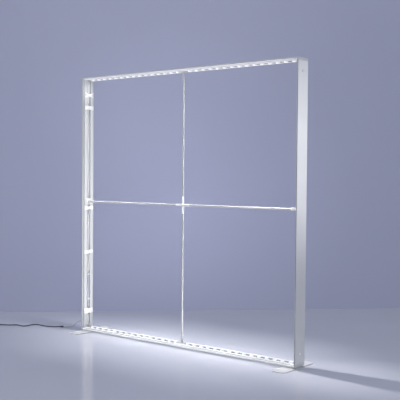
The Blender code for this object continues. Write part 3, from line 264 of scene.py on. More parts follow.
# %% Route of the grey supply lead
LEAD_DIAMETER = 0.0045
LEAD_STEP = 0.006
SOCKET_LENGTH = 0.052
LEAD_ROUTE = [
    (-1.0241, -0.01475, 0.0770), (-1.0300, -0.01475, 0.0768), (-1.0450, -0.0150, 0.0745),
    (-1.0620, -0.0150, 0.0685), (-1.0800, -0.0143, 0.0610), (-1.0950, -0.0130, 0.0530),
    (-1.1100, -0.0108, 0.0440), (-1.1250, -0.0078, 0.0340), (-1.1380, -0.0045, 0.0245),
    (-1.1500, -0.0015, 0.0165), (-1.1610, 0.0005, 0.0108), (-1.1705, 0.0000, 0.0080),
    (-1.1775, -0.0032, 0.0070),
]
lead_end = JOINT_PLACE - JOINT_HEADING * (SOCKET_LENGTH + END_GAP)
lead_points = [*LEAD_ROUTE, lead_end - JOINT_HEADING * LEAD_DIAMETER, lead_end]
lead_line = even_line(smooth_line(lead_points), LEAD_STEP)
print("supply lead, m:", round(line_length(lead_line), 3))

# %% [markdown]
# Inside the left upright a loom carries the driver's output to both LED bars. It is held by clips,
# slack between them, so that the upright can be taken apart at its middle without pulling a wire. Its
# rows are (inward, depth, height). Where a run may stretch with the wall, the heights are shares of it.

# %% Routes of the wires in the left upright
LOOM_DIAMETER = 0.004
WIRE_STEP = 0.004
DRIVER_TOP = 0.446
SLEEVE_BOTTOM = 0.843
UPPER_START, UPPER_SPAN = 0.125, 0.625
LOOM_LOW = [
    (0.07, 0.011, 0.0090), (0.054, 0.011, 0.0090), (0.04, 0.011, 0.0090), (0.029, 0.011, 0.0106),
    (0.0195, 0.0102, 0.0190), (0.0158, 0.008, 0.0360), (0.0153, 0.004, 0.0620), (0.0153, -0.0015, 0.0900),
    (0.0153, -0.0055, 0.1180), (0.0143, -0.0095, 0.1450), (0.012, -0.012, 0.1720), (0.01, -0.0132, 0.2000),
    (0.009, -0.0132, 0.2360),
]
LOOM_FREE_SHARES = [
    (0.009, -0.0128, 0.1864), (0.009, -0.0118, 0.4383), (0.01, -0.008, 0.5390), (0.0125, 0.0, 0.6398),
    (0.013, 0.0065, 0.7280), (0.0125, 0.009, 0.8287), (0.0105, 0.0055, 0.9295),
]
LOOM_MIDDLE = [
    (0.0095, 0.0023, -0.1570), (0.0095, 0.001, -0.1350), (0.0098, 0.001, -0.1160), (0.0125, 0.004, -0.0960),
    (0.0138, 0.007, -0.0750), (0.0138, 0.008, -0.0400), (0.0138, 0.008, 0.0400), (0.0136, 0.007, 0.0850),
    (0.01, 0.005, 0.1250),
]
LOOM_UPPER_SHARES = [
    (0.0065, 0.0, 0.1200), (0.0055, -0.006, 0.2800), (0.0055, 0.004, 0.4720), (0.0055, 0.008, 0.6640),
    (0.007, -0.002, 0.8400),
]
LOOM_HIGH = [
    (0.01, -0.009, -0.2500), (0.013, -0.01, -0.1800), (0.0153, -0.01, -0.1360), (0.0153, -0.01, -0.0900),
    (0.0153, -0.0108, -0.0370), (0.0153, -0.0082, -0.0303), (0.0153, -0.0018, -0.0276),
    (0.0153, 0.0047, -0.0303), (0.0153, 0.0073, -0.0370), (0.0153, 0.0065, -0.1000),
    (0.0153, 0.0065, -0.1320), (0.011, 0.0065, -0.1650), (0.0072, 0.0061, -0.1850),
    (0.0058, 0.0029, -0.1930), (0.0052, -0.0042, -0.1962), (0.005, -0.0113, -0.1930),
    (0.0052, -0.0145, -0.1850), (0.007, -0.0148, -0.1500), (0.008, -0.0148, -0.1000),
    (0.008, -0.0148, -0.0450), (0.0098, -0.0148, -0.0280), (0.016, -0.0142, -0.0140),
    (0.027, -0.012, -0.0095), (0.04, -0.011, -0.0090), (0.054, -0.011, -0.0090), (0.07, -0.011, -0.0090),
]
TAIL_FREE_SHARES = [
    (0.0065, 0.0032, 0.0252), (0.0062, 0.006, 0.0856), (0.0055, 0.0115, 0.1738), (0.005, 0.013, 0.2620),
    (0.005, 0.0126, 0.3320), (0.0054, 0.0098, 0.3491), (0.0062, 0.003, 0.3562), (0.007, -0.0038, 0.3491),
    (0.0078, -0.0066, 0.3320), (0.009, -0.007, 0.2116), (0.0106, -0.0068, 0.1259), (0.0114, -0.0063, 0.0819),
    (0.012, -0.0037, 0.0662), (0.0126, 0.0025, 0.0598), (0.013, 0.0087, 0.0662), (0.0132, 0.0113, 0.0819),
    (0.0132, 0.0118, 0.1461), (0.013, 0.011, 0.3375), (0.0125, 0.0095, 0.4635), (0.0095, 0.005, 0.5642),
    (0.006, -0.002, 0.6524), (0.0055, -0.008, 0.7406), (0.0065, -0.0095, 0.8287), (0.0085, -0.006, 0.9295),
]
TAIL_START = [(0.0065, 0.0032, 0.0003)]
TAIL_END = [(0.0095, -0.0023, -0.1570), (0.0095, -0.001, -0.1350)]
INPUT_LEAD = [
    (0.0066, -0.01475, 0.0650), (0.0076, -0.01475, 0.0650), (0.0107, -0.01475, 0.0656),
    (0.0133, -0.01475, 0.0673), (0.0150, -0.01475, 0.0699), (0.0156, -0.01475, 0.0730),
    (0.0152, -0.01475, 0.0840), (0.0132, -0.01475, 0.1030),
    (0.0108, -0.0147, 0.1209), (0.0072, -0.0108, 0.1439), (0.0050, -0.0035, 0.1678), (0.0060, 0.0010, 0.1898),
    (0.0080, 0.0028, 0.2117), (0.0088, 0.0030, 0.2267), (0.0088, 0.0030, 0.2357),
]
free_span = SLEEVE_BOTTOM - DRIVER_TOP
middle = WALL_HEIGHT / 2
loom_points = [
    *in_left_upright(LOOM_LOW, 0),
    *in_left_upright(LOOM_FREE_SHARES, DRIVER_TOP, free_span),
    *in_left_upright(LOOM_MIDDLE, middle),
    *in_left_upright(LOOM_UPPER_SHARES, middle + UPPER_START, UPPER_SPAN),
    *in_left_upright(LOOM_HIGH, WALL_HEIGHT),
]
tail_points = [
    *in_left_upright(TAIL_START, DRIVER_TOP),
    *in_left_upright(TAIL_FREE_SHARES, DRIVER_TOP, free_span),
    *in_left_upright(TAIL_END, middle),
]
loom_line = even_line(smooth_line(loom_points), WIRE_STEP)
driver_tail_line = even_line(smooth_line(tail_points), WIRE_STEP)
input_line = even_line(smooth_line(in_left_upright(INPUT_LEAD, 0)), WIRE_STEP)
for label, line in (("loom", loom_line), ("driver tail", driver_tail_line), ("input lead", input_line)):
    print(label, "length, m:", round(line_length(line), 3))

# %% [markdown]
# ## The studio
#
# The wall stands on a pale, slightly glossy floor in front of a lavender-grey backdrop. The floor is
# one large sheet. The backdrop is seen from its front only: a shader that is clear on the back of the
# sheet lets the other views look through it. A few helpers come first, because every material below
# is wired from the same handful of nodes.

# %% Shader helpers
def new_material(name):
    """A material with an empty Principled shader, and its node tree."""
    material = bpy.data.materials.new(name)
    material.use_nodes = True
    tree = material.node_tree
    return material, tree, tree.nodes["Principled BSDF"]


def add_node(tree, kind, **settings):
    """A shader node with its settings made."""
    node = tree.nodes.new(kind)
    for name, value in settings.items():
        setattr(node, name, value)
    return node


def set_inputs(node, **values):
    """Sets a node's inputs by their labels, with _ for each space."""
    for label, value in values.items():
        node.inputs[label.replace("_", " ")].default_value = value


def object_place(tree):
    """Object coordinates, which stay with the surface when a piece moves."""
    return add_node(tree, "ShaderNodeTexCoord").outputs["Object"]


def noise_node(tree, place, **values):
    """A Noise texture that is read at a place."""
    node = add_node(tree, "ShaderNodeTexNoise")
    set_inputs(node, **values)
    tree.links.new(place, node.inputs["Vector"])
    return node


def math_node(tree, operation, first, second=None):
    """A Math node whose inputs are numbers or other nodes' sockets; gives its output."""
    node = add_node(tree, "ShaderNodeMath", operation=operation)
    for socket, value in zip(node.inputs, (first, second)):
        if isinstance(value, (int, float)):
            socket.default_value = value
        elif value is not None:
            tree.links.new(value, socket)
    return node.outputs[0]


def colour_ramp(tree, factor, stops):
    """A colour ramp from (place, colour) stops; gives its colour."""
    ramp = add_node(tree, "ShaderNodeValToRGB")
    band = ramp.color_ramp
    while len(band.elements) < len(stops):
        band.elements.new(0.5)
    for element, (place, colour) in zip(band.elements, stops):
        element.position = place
        element.color = (*colour, 1)
    tree.links.new(factor, ramp.inputs["Fac"])
    return ramp.outputs["Color"]


def send_mix(tree, factor, first, second, output):
    """Sends a mix of two shaders to the tree's output."""
    mix = add_node(tree, "ShaderNodeMixShader")
    for source, socket in zip((factor, first.outputs[0], second.outputs[0]), mix.inputs):
        tree.links.new(source, socket)
    tree.links.new(mix.outputs[0], tree.nodes[output].inputs["Surface"])


# %% Floor
UP = Vector((0, 0, 1))
SHEET_WIDTH = 40
FLOOR_DROP = 0.0005
FLOOR_PALE, FLOOR_PALER = (0.545, 0.565, 0.645), (0.565, 0.585, 0.665)


def mesh_from(bm, name):
    """A mesh with what a bmesh holds."""
    mesh = bpy.data.meshes.new(name)
    bm.to_mesh(mesh)
    bm.free()
    return mesh


def add_sheet(name, width, length):
    """A flat sheet about the origin, made from a grid."""
    bm = bmesh.new()
    bmesh.ops.create_grid(bm, x_segments=2, y_segments=2, size=0.5)
    bmesh.ops.scale(bm, vec=(width, length, 1), verts=bm.verts)
    return add_object(name, mesh_from(bm, name))


floor = add_sheet("studio_floor", SHEET_WIDTH, SHEET_WIDTH)
floor.location = -FLOOR_DROP * UP
floor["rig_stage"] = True

floor_paint, tree, shader = new_material("pale_floor")
noise = noise_node(tree, object_place(tree), Scale=1.3, Detail=2)
paint = colour_ramp(tree, noise.outputs["Fac"], [(0.3, FLOOR_PALE), (0.7, FLOOR_PALER)])
tree.links.new(paint, shader.inputs["Base Color"])
set_inputs(shader, Roughness=0.12, Specular_IOR_Level=0.3)
floor.data.materials.append(floor_paint)
print("floor's width, m:", SHEET_WIDTH)

# %% [markdown]
# The photograph's backdrop is lightest behind the middle of the wall and falls off around it. That pool of
# light is painted into the backdrop's colour: a ramp over the distance from a point on the sheet, so that it
# stays put in every view.

# %% Backdrop
BACKDROP_HEIGHT = 12
BACKDROP_DISTANCE = 7.45
BACKDROP_TURN = math.radians(5.9)
BACKDROP_COLOUR = (0.285, 0.297, 0.39)
BACKDROP_PAINT = 1.72
# GLOW_MIDDLE, GLOW_REACH and GLOW_LEVELS set a painted pool of light: lightest at the middle point, darker
# with distance.
GLOW_MIDDLE, GLOW_REACH = (-0.2, -5.0, 0), 3.0
GLOW_LEVELS = ((0.0, 1.3), (0.2, 1.19), (0.33, 1.1), (0.55, 1.0), (0.8, 0.96))

backdrop = add_sheet("studio_backdrop", SHEET_WIDTH, BACKDROP_HEIGHT)
level_forward = Vector((-math.sin(YAW), math.cos(YAW), 0))
normal = Matrix.Rotation(BACKDROP_TURN, 3, "Z") @ -level_forward
backdrop_middle = CAMERA_PLACE + level_forward * BACKDROP_DISTANCE
backdrop_middle.z = BACKDROP_HEIGHT / 2
backdrop_axes = Matrix((UP.cross(normal), UP, normal)).transposed().to_4x4()
backdrop.matrix_world = Matrix.Translation(backdrop_middle) @ backdrop_axes
backdrop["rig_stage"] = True

backdrop_paint, tree, shader = new_material("lavender_backdrop")
from_middle = add_node(tree, "ShaderNodeVectorMath", operation="DISTANCE")
from_middle.inputs[1].default_value = GLOW_MIDDLE
tree.links.new(object_place(tree), from_middle.inputs[0])
reach = math_node(tree, "DIVIDE", from_middle.outputs["Value"], GLOW_REACH)
painted = [(at, tuple(BACKDROP_PAINT * level * c for c in BACKDROP_COLOUR)) for at, level in GLOW_LEVELS]
tree.links.new(colour_ramp(tree, reach, painted), shader.inputs["Base Color"])
set_inputs(shader, Roughness=0.9, Specular_IOR_Level=0.1)
clear = add_node(tree, "ShaderNodeBsdfTransparent")
from_behind = add_node(tree, "ShaderNodeNewGeometry").outputs["Backfacing"]
send_mix(tree, from_behind, shader, clear, "Material Output")
backdrop.data.materials.append(backdrop_paint)
print("backdrop's middle, m:", [round(part, 2) for part in backdrop_middle])

# %% [markdown]
# ## The light
#
# Soft studio light comes from the world and from two large area lamps: one at the left of the camera,
# and a weak one behind the wall at the right. The world lights with a pale colour of its own, but
# shows the camera and glossy surfaces the backdrop's colour.

# %% World and studio lamps
WORLD_COLOUR, WORLD_STRENGTH = (0.92, 0.94, 1.0), 0.72
COOL_WHITE, WARM_WHITE = (0.97, 0.98, 1.0), (1.0, 0.995, 0.98)

world = bpy.data.worlds.new("studio")
scene.world = world
world.use_nodes = True
tree = world.node_tree
background = tree.nodes["Background"]
set_inputs(background, Color=(*WORLD_COLOUR, 1), Strength=WORLD_STRENGTH)
seen = add_node(tree, "ShaderNodeBackground")
set_inputs(seen, Color=(*BACKDROP_COLOUR, 1), Strength=1.0)
path = add_node(tree, "ShaderNodeLightPath")
shown = math_node(tree, "MAXIMUM", path.outputs["Is Camera Ray"], path.outputs["Is Transmission Ray"])
shown = math_node(tree, "MAXIMUM", shown, path.outputs["Is Glossy Ray"])
send_mix(tree, shown, background, seen, "World Output")


def area_lamp(name, place, aim, size, watts, colour, spread=180):
    """A rectangular lamp at a place, aimed at a point, that the camera doesn't see."""
    data = bpy.data.lights.new(name, "AREA")
    data.shape = "RECTANGLE"
    data.size, data.size_y = size
    data.energy = watts
    data.color = colour
    data.spread = math.radians(spread)
    lamp = add_object(name, data)
    heading = Vector(aim) - Vector(place)
    lamp.matrix_world = Matrix.Translation(place) @ heading.to_track_quat("-Z", "Y").to_matrix().to_4x4()
    lamp.visible_camera = False
    return lamp


area_lamp("softbox_front", (-3.7, -4.8, 2.3), (-0.3, 0, 1.0), size=(5.0, 2.6), watts=50, colour=COOL_WHITE)
area_lamp(
    "softbox_behind", (4.3, 4.9, 1.62), (1.0, 0, 1.5),
    size=(2.2, 2.3), watts=2.2, colour=WARM_WHITE, spread=30,
)
print("world strength:", WORLD_STRENGTH)

# %% [markdown]
# The LED bars add their own light. Rays through sixty real lenses would give a noisy picture, so thin
# area lamps stand for them. Along each row there are wide lamps for the glow and a narrow beam for
# the bright strip on the floor. Slanted fans shine past the uprights, which throw the two dark wedges
# on the floor. Weak, narrow lamps add what the lenses spill on the left upright and its top corner
# and on the top rail, and what reaches the floor under the bottom rail.

# %% Lamps of the LED bars
LED_COLOUR = (1.0, 0.985, 0.94)
LOWER_ROW, UPPER_ROW = 0.0375, 1.9865
ROW_MIDDLE = 0.4935
ROW_SIZE = (0.82, 0.012)
FAN_HEIGHT, FAN_LANDING = 1.96, 1.45


def led_lamp(name, place, aim, size, watts, spread=180):
    """A lamp that stands for light of the LED bars, so that it shows in no reflection."""
    area_lamp(name, place, aim, size, watts, LED_COLOUR, spread).visible_glossy = False


for name, height, watts, spread in (
    ("led_light_up", LOWER_ROW, 2.9, 90),
    ("led_light_down", UPPER_ROW, 3.3, 54),
    ("led_beam_down", UPPER_ROW, 0.42, 22),
):
    for half, x in (("left", -ROW_MIDDLE), ("right", ROW_MIDDLE)):
        led_lamp(f"{name}_{half}", (x, 0, height), (x, 0, WALL_HEIGHT / 2), ROW_SIZE, watts, spread)
for name, outward, watts in (("led_fan_left", -1, 0.13), ("led_fan_right", 1, 0.46)):
    for start in (0.12, 0.45):
        landing = (FAN_LANDING * outward, 0, 0)
        led_lamp(name, (start * outward, 0, FAN_HEIGHT), landing, (0.012, 0.03), watts, spread=30)
# Each row gives a place, an aim and a size.
led_lamp("spill_on_left_upright", (0.93, 0, 1.0), (-1, 0, 1.0), (0.03, 1.85), watts=0.26, spread=4)
led_lamp("rim_on_left_upright", (0.09, -1.03, 1.0), (-1, 0, 1.0), (0.06, 1.9), watts=0.13, spread=2)
led_lamp("glow_in_top_corner", (-0.85, -0.15, 1.91), (-1, 0, 1.91), (0.04, 0.14), watts=0.024, spread=50)
for name, side in (("lens_glow_front", -0.13), ("lens_glow_back", 0.13)):
    led_lamp(name, (0, side, 1.88), (0, side * 0.4, 2.0), (1.9, 0.04), watts=0.3, spread=120)
led_lamp("bounce_under_rail", (0, 0, 0.0112), (0, 0, 0), (1.95, 0.09), watts=0.35)

# %% [markdown]
# ## Shared surface effects
#
# Real finishes are never one flat colour. Three small node groups hold the effects that several
# materials share: fine grain that bumps the surface, slow mottling that shifts a colour, and wear on
# exposed edges. Grain that is stretched along one axis makes the lines of an extrusion. Each group
# gives out only colours, masks and normals, and each material sets its own amounts.

# %% A node group with named sockets
FLOAT, COLOUR, VECTOR = "NodeSocketFloat", "NodeSocketColor", "NodeSocketVector"


def new_group(name, inputs, outputs):
    """A shader node group with its named sockets, and its input and output nodes."""
    group = bpy.data.node_groups.new(name, "ShaderNodeTree")
    for label, kind, value in inputs:
        socket = group.interface.new_socket(label, in_out="INPUT", socket_type=kind)
        if value is not None:
            socket.default_value = value
    for label, kind in outputs:
        group.interface.new_socket(label, in_out="OUTPUT", socket_type=kind)
    return group, group.nodes.new("NodeGroupInput"), group.nodes.new("NodeGroupOutput")


# %% Fine grain
grain_group, given, result = new_group(
    "fine_grain",
    [("Scale", FLOAT, 900.0), ("Depth", FLOAT, 0.1), ("Stretch", VECTOR, (1, 1, 1))],
    [("Normal", VECTOR), ("Mask", FLOAT)],
)
stretched = add_node(grain_group, "ShaderNodeVectorMath", operation="MULTIPLY")
grain_group.links.new(object_place(grain_group), stretched.inputs[0])
grain_group.links.new(given.outputs["Stretch"], stretched.inputs[1])
noise = noise_node(grain_group, stretched.outputs[0], Detail=3)
grain_group.links.new(given.outputs["Scale"], noise.inputs["Scale"])
bump = add_node(grain_group, "ShaderNodeBump")
set_inputs(bump, Distance=0.0004)
grain_group.links.new(given.outputs["Depth"], bump.inputs["Strength"])
grain_group.links.new(noise.outputs["Fac"], bump.inputs["Height"])
grain_group.links.new(bump.outputs["Normal"], result.inputs["Normal"])
grain_group.links.new(noise.outputs["Fac"], result.inputs["Mask"])
print("nodes for grain:", len(grain_group.nodes))

# %% Slow mottling
mottle_group, given, result = new_group(
    "slow_mottle",
    [("Colour", COLOUR, None), ("Second", COLOUR, None), ("Scale", FLOAT, 4.0), ("Amount", FLOAT, 0.5)],
    [("Colour", COLOUR), ("Mask", FLOAT)],
)
noise = noise_node(mottle_group, object_place(mottle_group), Detail=4, Roughness=0.6)
mottle_group.links.new(given.outputs["Scale"], noise.inputs["Scale"])
share = math_node(mottle_group, "MULTIPLY", noise.outputs["Fac"], given.outputs["Amount"])
blend = add_node(mottle_group, "ShaderNodeMix", data_type="RGBA")
mottle_group.links.new(share, blend.inputs["Factor"])
mottle_group.links.new(given.outputs["Colour"], blend.inputs["A"])
mottle_group.links.new(given.outputs["Second"], blend.inputs["B"])
mottle_group.links.new(blend.outputs["Result"], result.inputs["Colour"])
mottle_group.links.new(noise.outputs["Fac"], result.inputs["Mask"])
print("nodes for mottling:", len(mottle_group.nodes))

# %% Edge wear
wear_group, given, result = new_group(
    "edge_wear",
    [("Radius", FLOAT, 0.001), ("Amount", FLOAT, 0.6)],
    [("Mask", FLOAT)],
)
rounded = add_node(wear_group, "ShaderNodeBevel", samples=4)
wear_group.links.new(given.outputs["Radius"], rounded.inputs["Radius"])
agree = add_node(wear_group, "ShaderNodeVectorMath", operation="DOT_PRODUCT")
wear_group.links.new(rounded.outputs["Normal"], agree.inputs[0])
wear_group.links.new(add_node(wear_group, "ShaderNodeNewGeometry").outputs["Normal"], agree.inputs[1])
edge = math_node(wear_group, "SUBTRACT", 1.0, agree.outputs["Value"])
patch = noise_node(wear_group, object_place(wear_group), Scale=90)
worn = math_node(wear_group, "MULTIPLY", edge, patch.outputs["Fac"])
mask = math_node(wear_group, "MULTIPLY", worn, given.outputs["Amount"])
clamp = add_node(wear_group, "ShaderNodeClamp")
wear_group.links.new(mask, clamp.inputs["Value"])
wear_group.links.new(clamp.outputs[0], result.inputs["Mask"])
print("node groups:", [group.name for group in bpy.data.node_groups])

# %% [markdown]
# ## Finishes
#
# One function builds a finish from those groups, because every rigid surface here is the same recipe
# with other amounts: a base colour with a little mottling, wear towards a lighter colour on edges,
# grain in the normal, and roughness that follows the mottling.

# %% A finish from the shared effects
EVEN = (1, 1, 1)
ALONG_X, ALONG_Z = (0.01, 1, 1), (1, 1, 0.01)
BRIGHT_EDGE = (0.85, 0.86, 0.9)
SMOOTHER, ROUGHER = 0.05, 0.07


def finish(
    name, colour, second, roughness, metallic=0.0,
    mottle=(5.0, 0.5), wear=(0.0008, 0.5, BRIGHT_EDGE), grain=(900.0, 0.08, EVEN),
):
    """A surface with mottle (scale, amount), wear (radius, amount, colour), grain (scale, depth, stretch)."""
    material, tree, shader = new_material(name)
    patches = add_node(tree, "ShaderNodeGroup", node_tree=mottle_group)
    set_inputs(patches, Colour=(*colour, 1), Second=(*second, 1), Scale=mottle[0], Amount=mottle[1])
    edges = add_node(tree, "ShaderNodeGroup", node_tree=wear_group)
    set_inputs(edges, Radius=wear[0], Amount=wear[1])
    blend = add_node(tree, "ShaderNodeMix", data_type="RGBA")
    set_inputs(blend, B=(*wear[2], 1))
    tree.links.new(edges.outputs["Mask"], blend.inputs["Factor"])
    tree.links.new(patches.outputs["Colour"], blend.inputs["A"])
    tree.links.new(blend.outputs["Result"], shader.inputs["Base Color"])
    lines = add_node(tree, "ShaderNodeGroup", node_tree=grain_group)
    set_inputs(lines, Scale=grain[0], Depth=grain[1], Stretch=grain[2])
    tree.links.new(lines.outputs["Normal"], shader.inputs["Normal"])
    spread = add_node(tree, "ShaderNodeMapRange")
    set_inputs(spread, To_Min=roughness - SMOOTHER, To_Max=roughness + ROUGHER)
    tree.links.new(patches.outputs["Mask"], spread.inputs["Value"])
    tree.links.new(spread.outputs["Result"], shader.inputs["Roughness"])
    set_inputs(shader, Metallic=metallic)
    return material


def dress(start, material):
    """Gives the CAD nodes whose names start so a material in place of their own."""
    dressed = [name for name in nodes if name.startswith(start)]
    for name in dressed:
        nodes[name].data.materials.clear()
        nodes[name].data.materials.append(material)
    print(material.name, "on", len(dressed), "nodes")


# %% [markdown]
# The profiles are silver anodised aluminium. Extrusion leaves faint lines along each profile, so the grain is
# stretched along X for the rails and along Z for the uprights. The uprights' copy of the finish is painted
# darker than the rails', a painted shade on the uprights. The splice bars are bare aluminium, the LED
# carriers are dark grey, the brace rods are satin tubes, the bolts are zinc plated, and the feet have a fine
# powder coat.

# %% Finishes of the metal pieces
# The number after the two colours is the roughness.
anodised = dict(mottle=(3.0, 0.35), wear=(0.0006, 0.6, (0.9, 0.91, 0.94)))
along_rail = finish(
    "anodised_along_rail", (0.82, 0.83, 0.85), (0.76, 0.77, 0.79), 0.36,
    metallic=0.08, grain=(1500.0, 0.06, ALONG_X), **anodised,
)
# The uprights' copy of the anodised finish is painted darker than the rails': painted shade.
upright_anodised_painted_shade = finish(
    "anodised_upright_painted_shade", (0.63, 0.645, 0.665), (0.57, 0.585, 0.61), 0.34,
    metallic=0.3, grain=(1500.0, 0.06, ALONG_Z), **anodised,
)
mill = finish(
    "mill_aluminium", (0.62, 0.63, 0.66), (0.5, 0.51, 0.54), 0.34,
    metallic=0.85, grain=(1200.0, 0.1, (0.02, 1, 1)),
)
carrier_grey = finish(
    "carrier_dark_grey", (0.13, 0.135, 0.16), (0.1, 0.105, 0.13), 0.45,
    metallic=0.3, grain=(1500.0, 0.08, ALONG_X),
)
tube_metal = finish(
    "brace_tube", (0.46, 0.47, 0.485), (0.44, 0.45, 0.465), 0.5,
    wear=(0.0006, 0.0, (0.5, 0.5, 0.5)), grain=(1500.0, 0.03, EVEN),
)
zinc = finish("bolt_zinc", (0.6, 0.6, 0.63), (0.45, 0.45, 0.49), 0.3, metallic=1.0)
for start, material in (
    ("rail_", along_rail), ("upright_", upright_anodised_painted_shade), ("splice_bar_", mill),
    ("led_carrier_", carrier_grey), ("brace_rod_", tube_metal), ("foot_bolt_", zinc),
):
    dress(start, material)

spring_steel = finish(
    "spring_steel", (0.6, 0.61, 0.65), (0.5, 0.51, 0.55), 0.28,
    metallic=1.0, grain=(1400.0, 0.08, (1, 0.03, 1)),
)
powder_coat = finish(
    "foot_powder_coat", (0.60, 0.61, 0.63), (0.54, 0.55, 0.575), 0.42,
    grain=(1100.0, 0.35, EVEN), mottle=(7.0, 0.5),
)
driver_metal = finish(
    "driver_case", (0.66, 0.67, 0.72), (0.56, 0.57, 0.62), 0.38,
    metallic=0.6, grain=(1400.0, 0.08, (1, 1, 0.02)),
)

# %% [markdown]
# ## Moulded and pressed pieces
#
# CAD solids have knife edges. A moulding, and a pressed plate too, has small radii that catch the
# light. So each of these pieces is a copy of its CAD solid: its loose triangles are merged, flat areas
# are dissolved into whole faces, and a Bevel modifier rounds what is left of the sharp edges.

# %% Rounded copies of CAD solids
MERGE_DISTANCE = 0.00001
FLAT_ANGLE, SHARP_ANGLE = math.radians(1), math.radians(28)


def rounded_copy(node, name, material, radius=0.0004, segments=2):
    """A piece that stands for a CAD node, with its sharp edges rounded."""
    bm = bmesh.new()
    bm.from_mesh(nodes[node].data)
    bmesh.ops.remove_doubles(bm, verts=bm.verts, dist=MERGE_DISTANCE)
    bmesh.ops.dissolve_limit(bm, angle_limit=FLAT_ANGLE, verts=bm.verts, edges=bm.edges)
    mesh = mesh_from(bm, name)
    mesh.shade_smooth()
    mesh.materials.append(material)
    piece = add_object(name, mesh)
    edge = piece.modifiers.new("rounded_edges", "BEVEL")
    edge.width = radius
    edge.segments = segments
    edge.limit_method = "ANGLE"
    edge.angle_limit = SHARP_ANGLE
    edge.harden_normals = True
    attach(piece, nodes[node]["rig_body"])
    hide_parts(node)
    return piece


# %% Finishes and copies of the moulded and pressed pieces
def moulding(name, colour, second, roughness, depth, scale=700.0):
    """The finish of a moulded plastic, whose grain has a depth."""
    return finish(name, colour, second, roughness, grain=(scale, depth, EVEN))


# The numbers after the two colours are roughness and depth of grain.
white_moulding = moulding("white_moulding", (0.78, 0.78, 0.79), (0.74, 0.74, 0.76), 0.4, 0.12)
silver_moulding = moulding("silver_moulding", (0.62, 0.635, 0.66), (0.57, 0.585, 0.61), 0.42, 0.1)
# The brace sockets' white is painted darker than the cross's white: painted shade.
socket_white_painted_shade = moulding("socket_white_painted_shade", (0.57, 0.575, 0.59), (0.54, 0.545, 0.56), 0.4, 0.08)
cross_white = moulding("cross_white", (0.8, 0.8, 0.81), (0.77, 0.77, 0.79), 0.4, 0.08)
cream_moulding = moulding("cream_moulding", (0.88, 0.86, 0.79), (0.84, 0.81, 0.73), 0.42, 0.12)
CORNERS = ("bottom_left", "bottom_right", "top_left", "top_right")
for i in range(1, 6):
    rounded_copy(f"cable_clip_{i}", f"clip_moulding_{i}", white_moulding, radius=0.0005)
for side in ("top", "bottom", "left", "right"):
    socket_name = f"socket_moulding_{side}"
    rounded_copy(f"brace_socket_{side}", socket_name, socket_white_painted_shade, radius=0.0005)
rounded_copy("brace_cross", "cross_moulding", cross_white, radius=0.0009, segments=3)
for corner in CORNERS:
    leg_name, button_name = f"corner_moulding_{corner}", f"button_moulding_{corner}"
    rounded_copy(f"corner_connector_{corner}", leg_name, silver_moulding, radius=0.0003)
    rounded_copy(f"snap_button_{corner}", button_name, cream_moulding, radius=0.0003)
for side in ("left", "right"):
    rounded_copy(f"foot_{side}", f"foot_plate_{side}", powder_coat, radius=0.0004)
rounded_copy("led_driver", "driver_body", driver_metal, radius=0.0005)

# %% [markdown]
# A V-shaped leaf spring stands behind each snap button. Its point rests on the floor of the
# connector's pocket and its two ends lie against the button, so it flattens as the button is pressed.
# Each spring is a plain copy of its CAD solid. It gets no bevel, because the leaf is only half a millimetre
# thick.

# %% Leaf springs behind the buttons
for corner in CORNERS:
    low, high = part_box(f"button_spring_{corner}")
    spring = rounded_copy(f"button_spring_{corner}", f"leaf_spring_{corner}", spring_steel)
    spring.modifiers.clear()
    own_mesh(spring)

# %% [markdown]
# ## LED bars
#
# A board with one LED under each lens lies on the carrier. The lens is a clear block with a crowned top that
# throws the light sideways across the fabric. One lens is shaped with bmesh operators, then copied along the
# strip. The lit lens is a glossy plastic that also gives out light, brightest over its LED. Its base colour
# too is painted lighter over the LED and darker towards its sides: painted light.

# %% Materials of the lit lens and the board
LENS_PITCH = 0.0625
LENS_FROM_MIDDLE = 0.056
LENS_COUNT = 15
LENS_GLOW_REACH = 0.0125
LENS_LIT = [(0.0, (1, 0.99, 0.95)), (0.55, (0.92, 0.91, 0.88)), (1.0, (0.55, 0.56, 0.57))]
# The lens's base colour ramp, painted lighter over its LED and darker at its sides: painted light.
LENS_BODY_PAINTED_LIGHT = [(0.0, (0.5, 0.51, 0.53)), (1.0, (0.3, 0.31, 0.34))]


def from_lens_middle(tree):
    """How far a point is from its lens's middle along the strip, in metres."""
    place = add_node(tree, "ShaderNodeSeparateXYZ")
    tree.links.new(object_place(tree), place.inputs[0])
    from_wall_middle = math_node(tree, "ABSOLUTE", place.outputs["X"])
    run = math_node(tree, "SUBTRACT", from_wall_middle, LENS_FROM_MIDDLE - LENS_PITCH / 2)
    inside = math_node(tree, "SUBTRACT", math_node(tree, "MODULO", run, LENS_PITCH), LENS_PITCH / 2)
    return math_node(tree, "ABSOLUTE", inside)


lit_lens, tree, shader = new_material("lit_lens")
share = math_node(tree, "DIVIDE", from_lens_middle(tree), LENS_GLOW_REACH)
tree.links.new(colour_ramp(tree, share, LENS_LIT), shader.inputs["Emission Color"])
tree.links.new(colour_ramp(tree, share, LENS_BODY_PAINTED_LIGHT), shader.inputs["Base Color"])
set_inputs(shader, Emission_Strength=0.95, Roughness=0.12, Coat_Weight=0.4)
# The boards are near black.
dark_board = finish(
    "dark_board", (0.085, 0.09, 0.11), (0.065, 0.07, 0.09), 0.5,
    mottle=(40.0, 0.5), grain=(1800.0, 0.05, EVEN),
)
screw_steel = finish("screw_steel", (0.3, 0.31, 0.33), (0.22, 0.23, 0.25), 0.35, metallic=0.9)
print("lens pitch, mm:", 1000 * LENS_PITCH)

# %% One lens, and a piece from a bmesh
LENS_SIZE = (0.023, 0.02, 0.006)
LENS_CROWN = ((0.84, 0.0016), (0.8, 0.0013), (0.55, 0.0008))


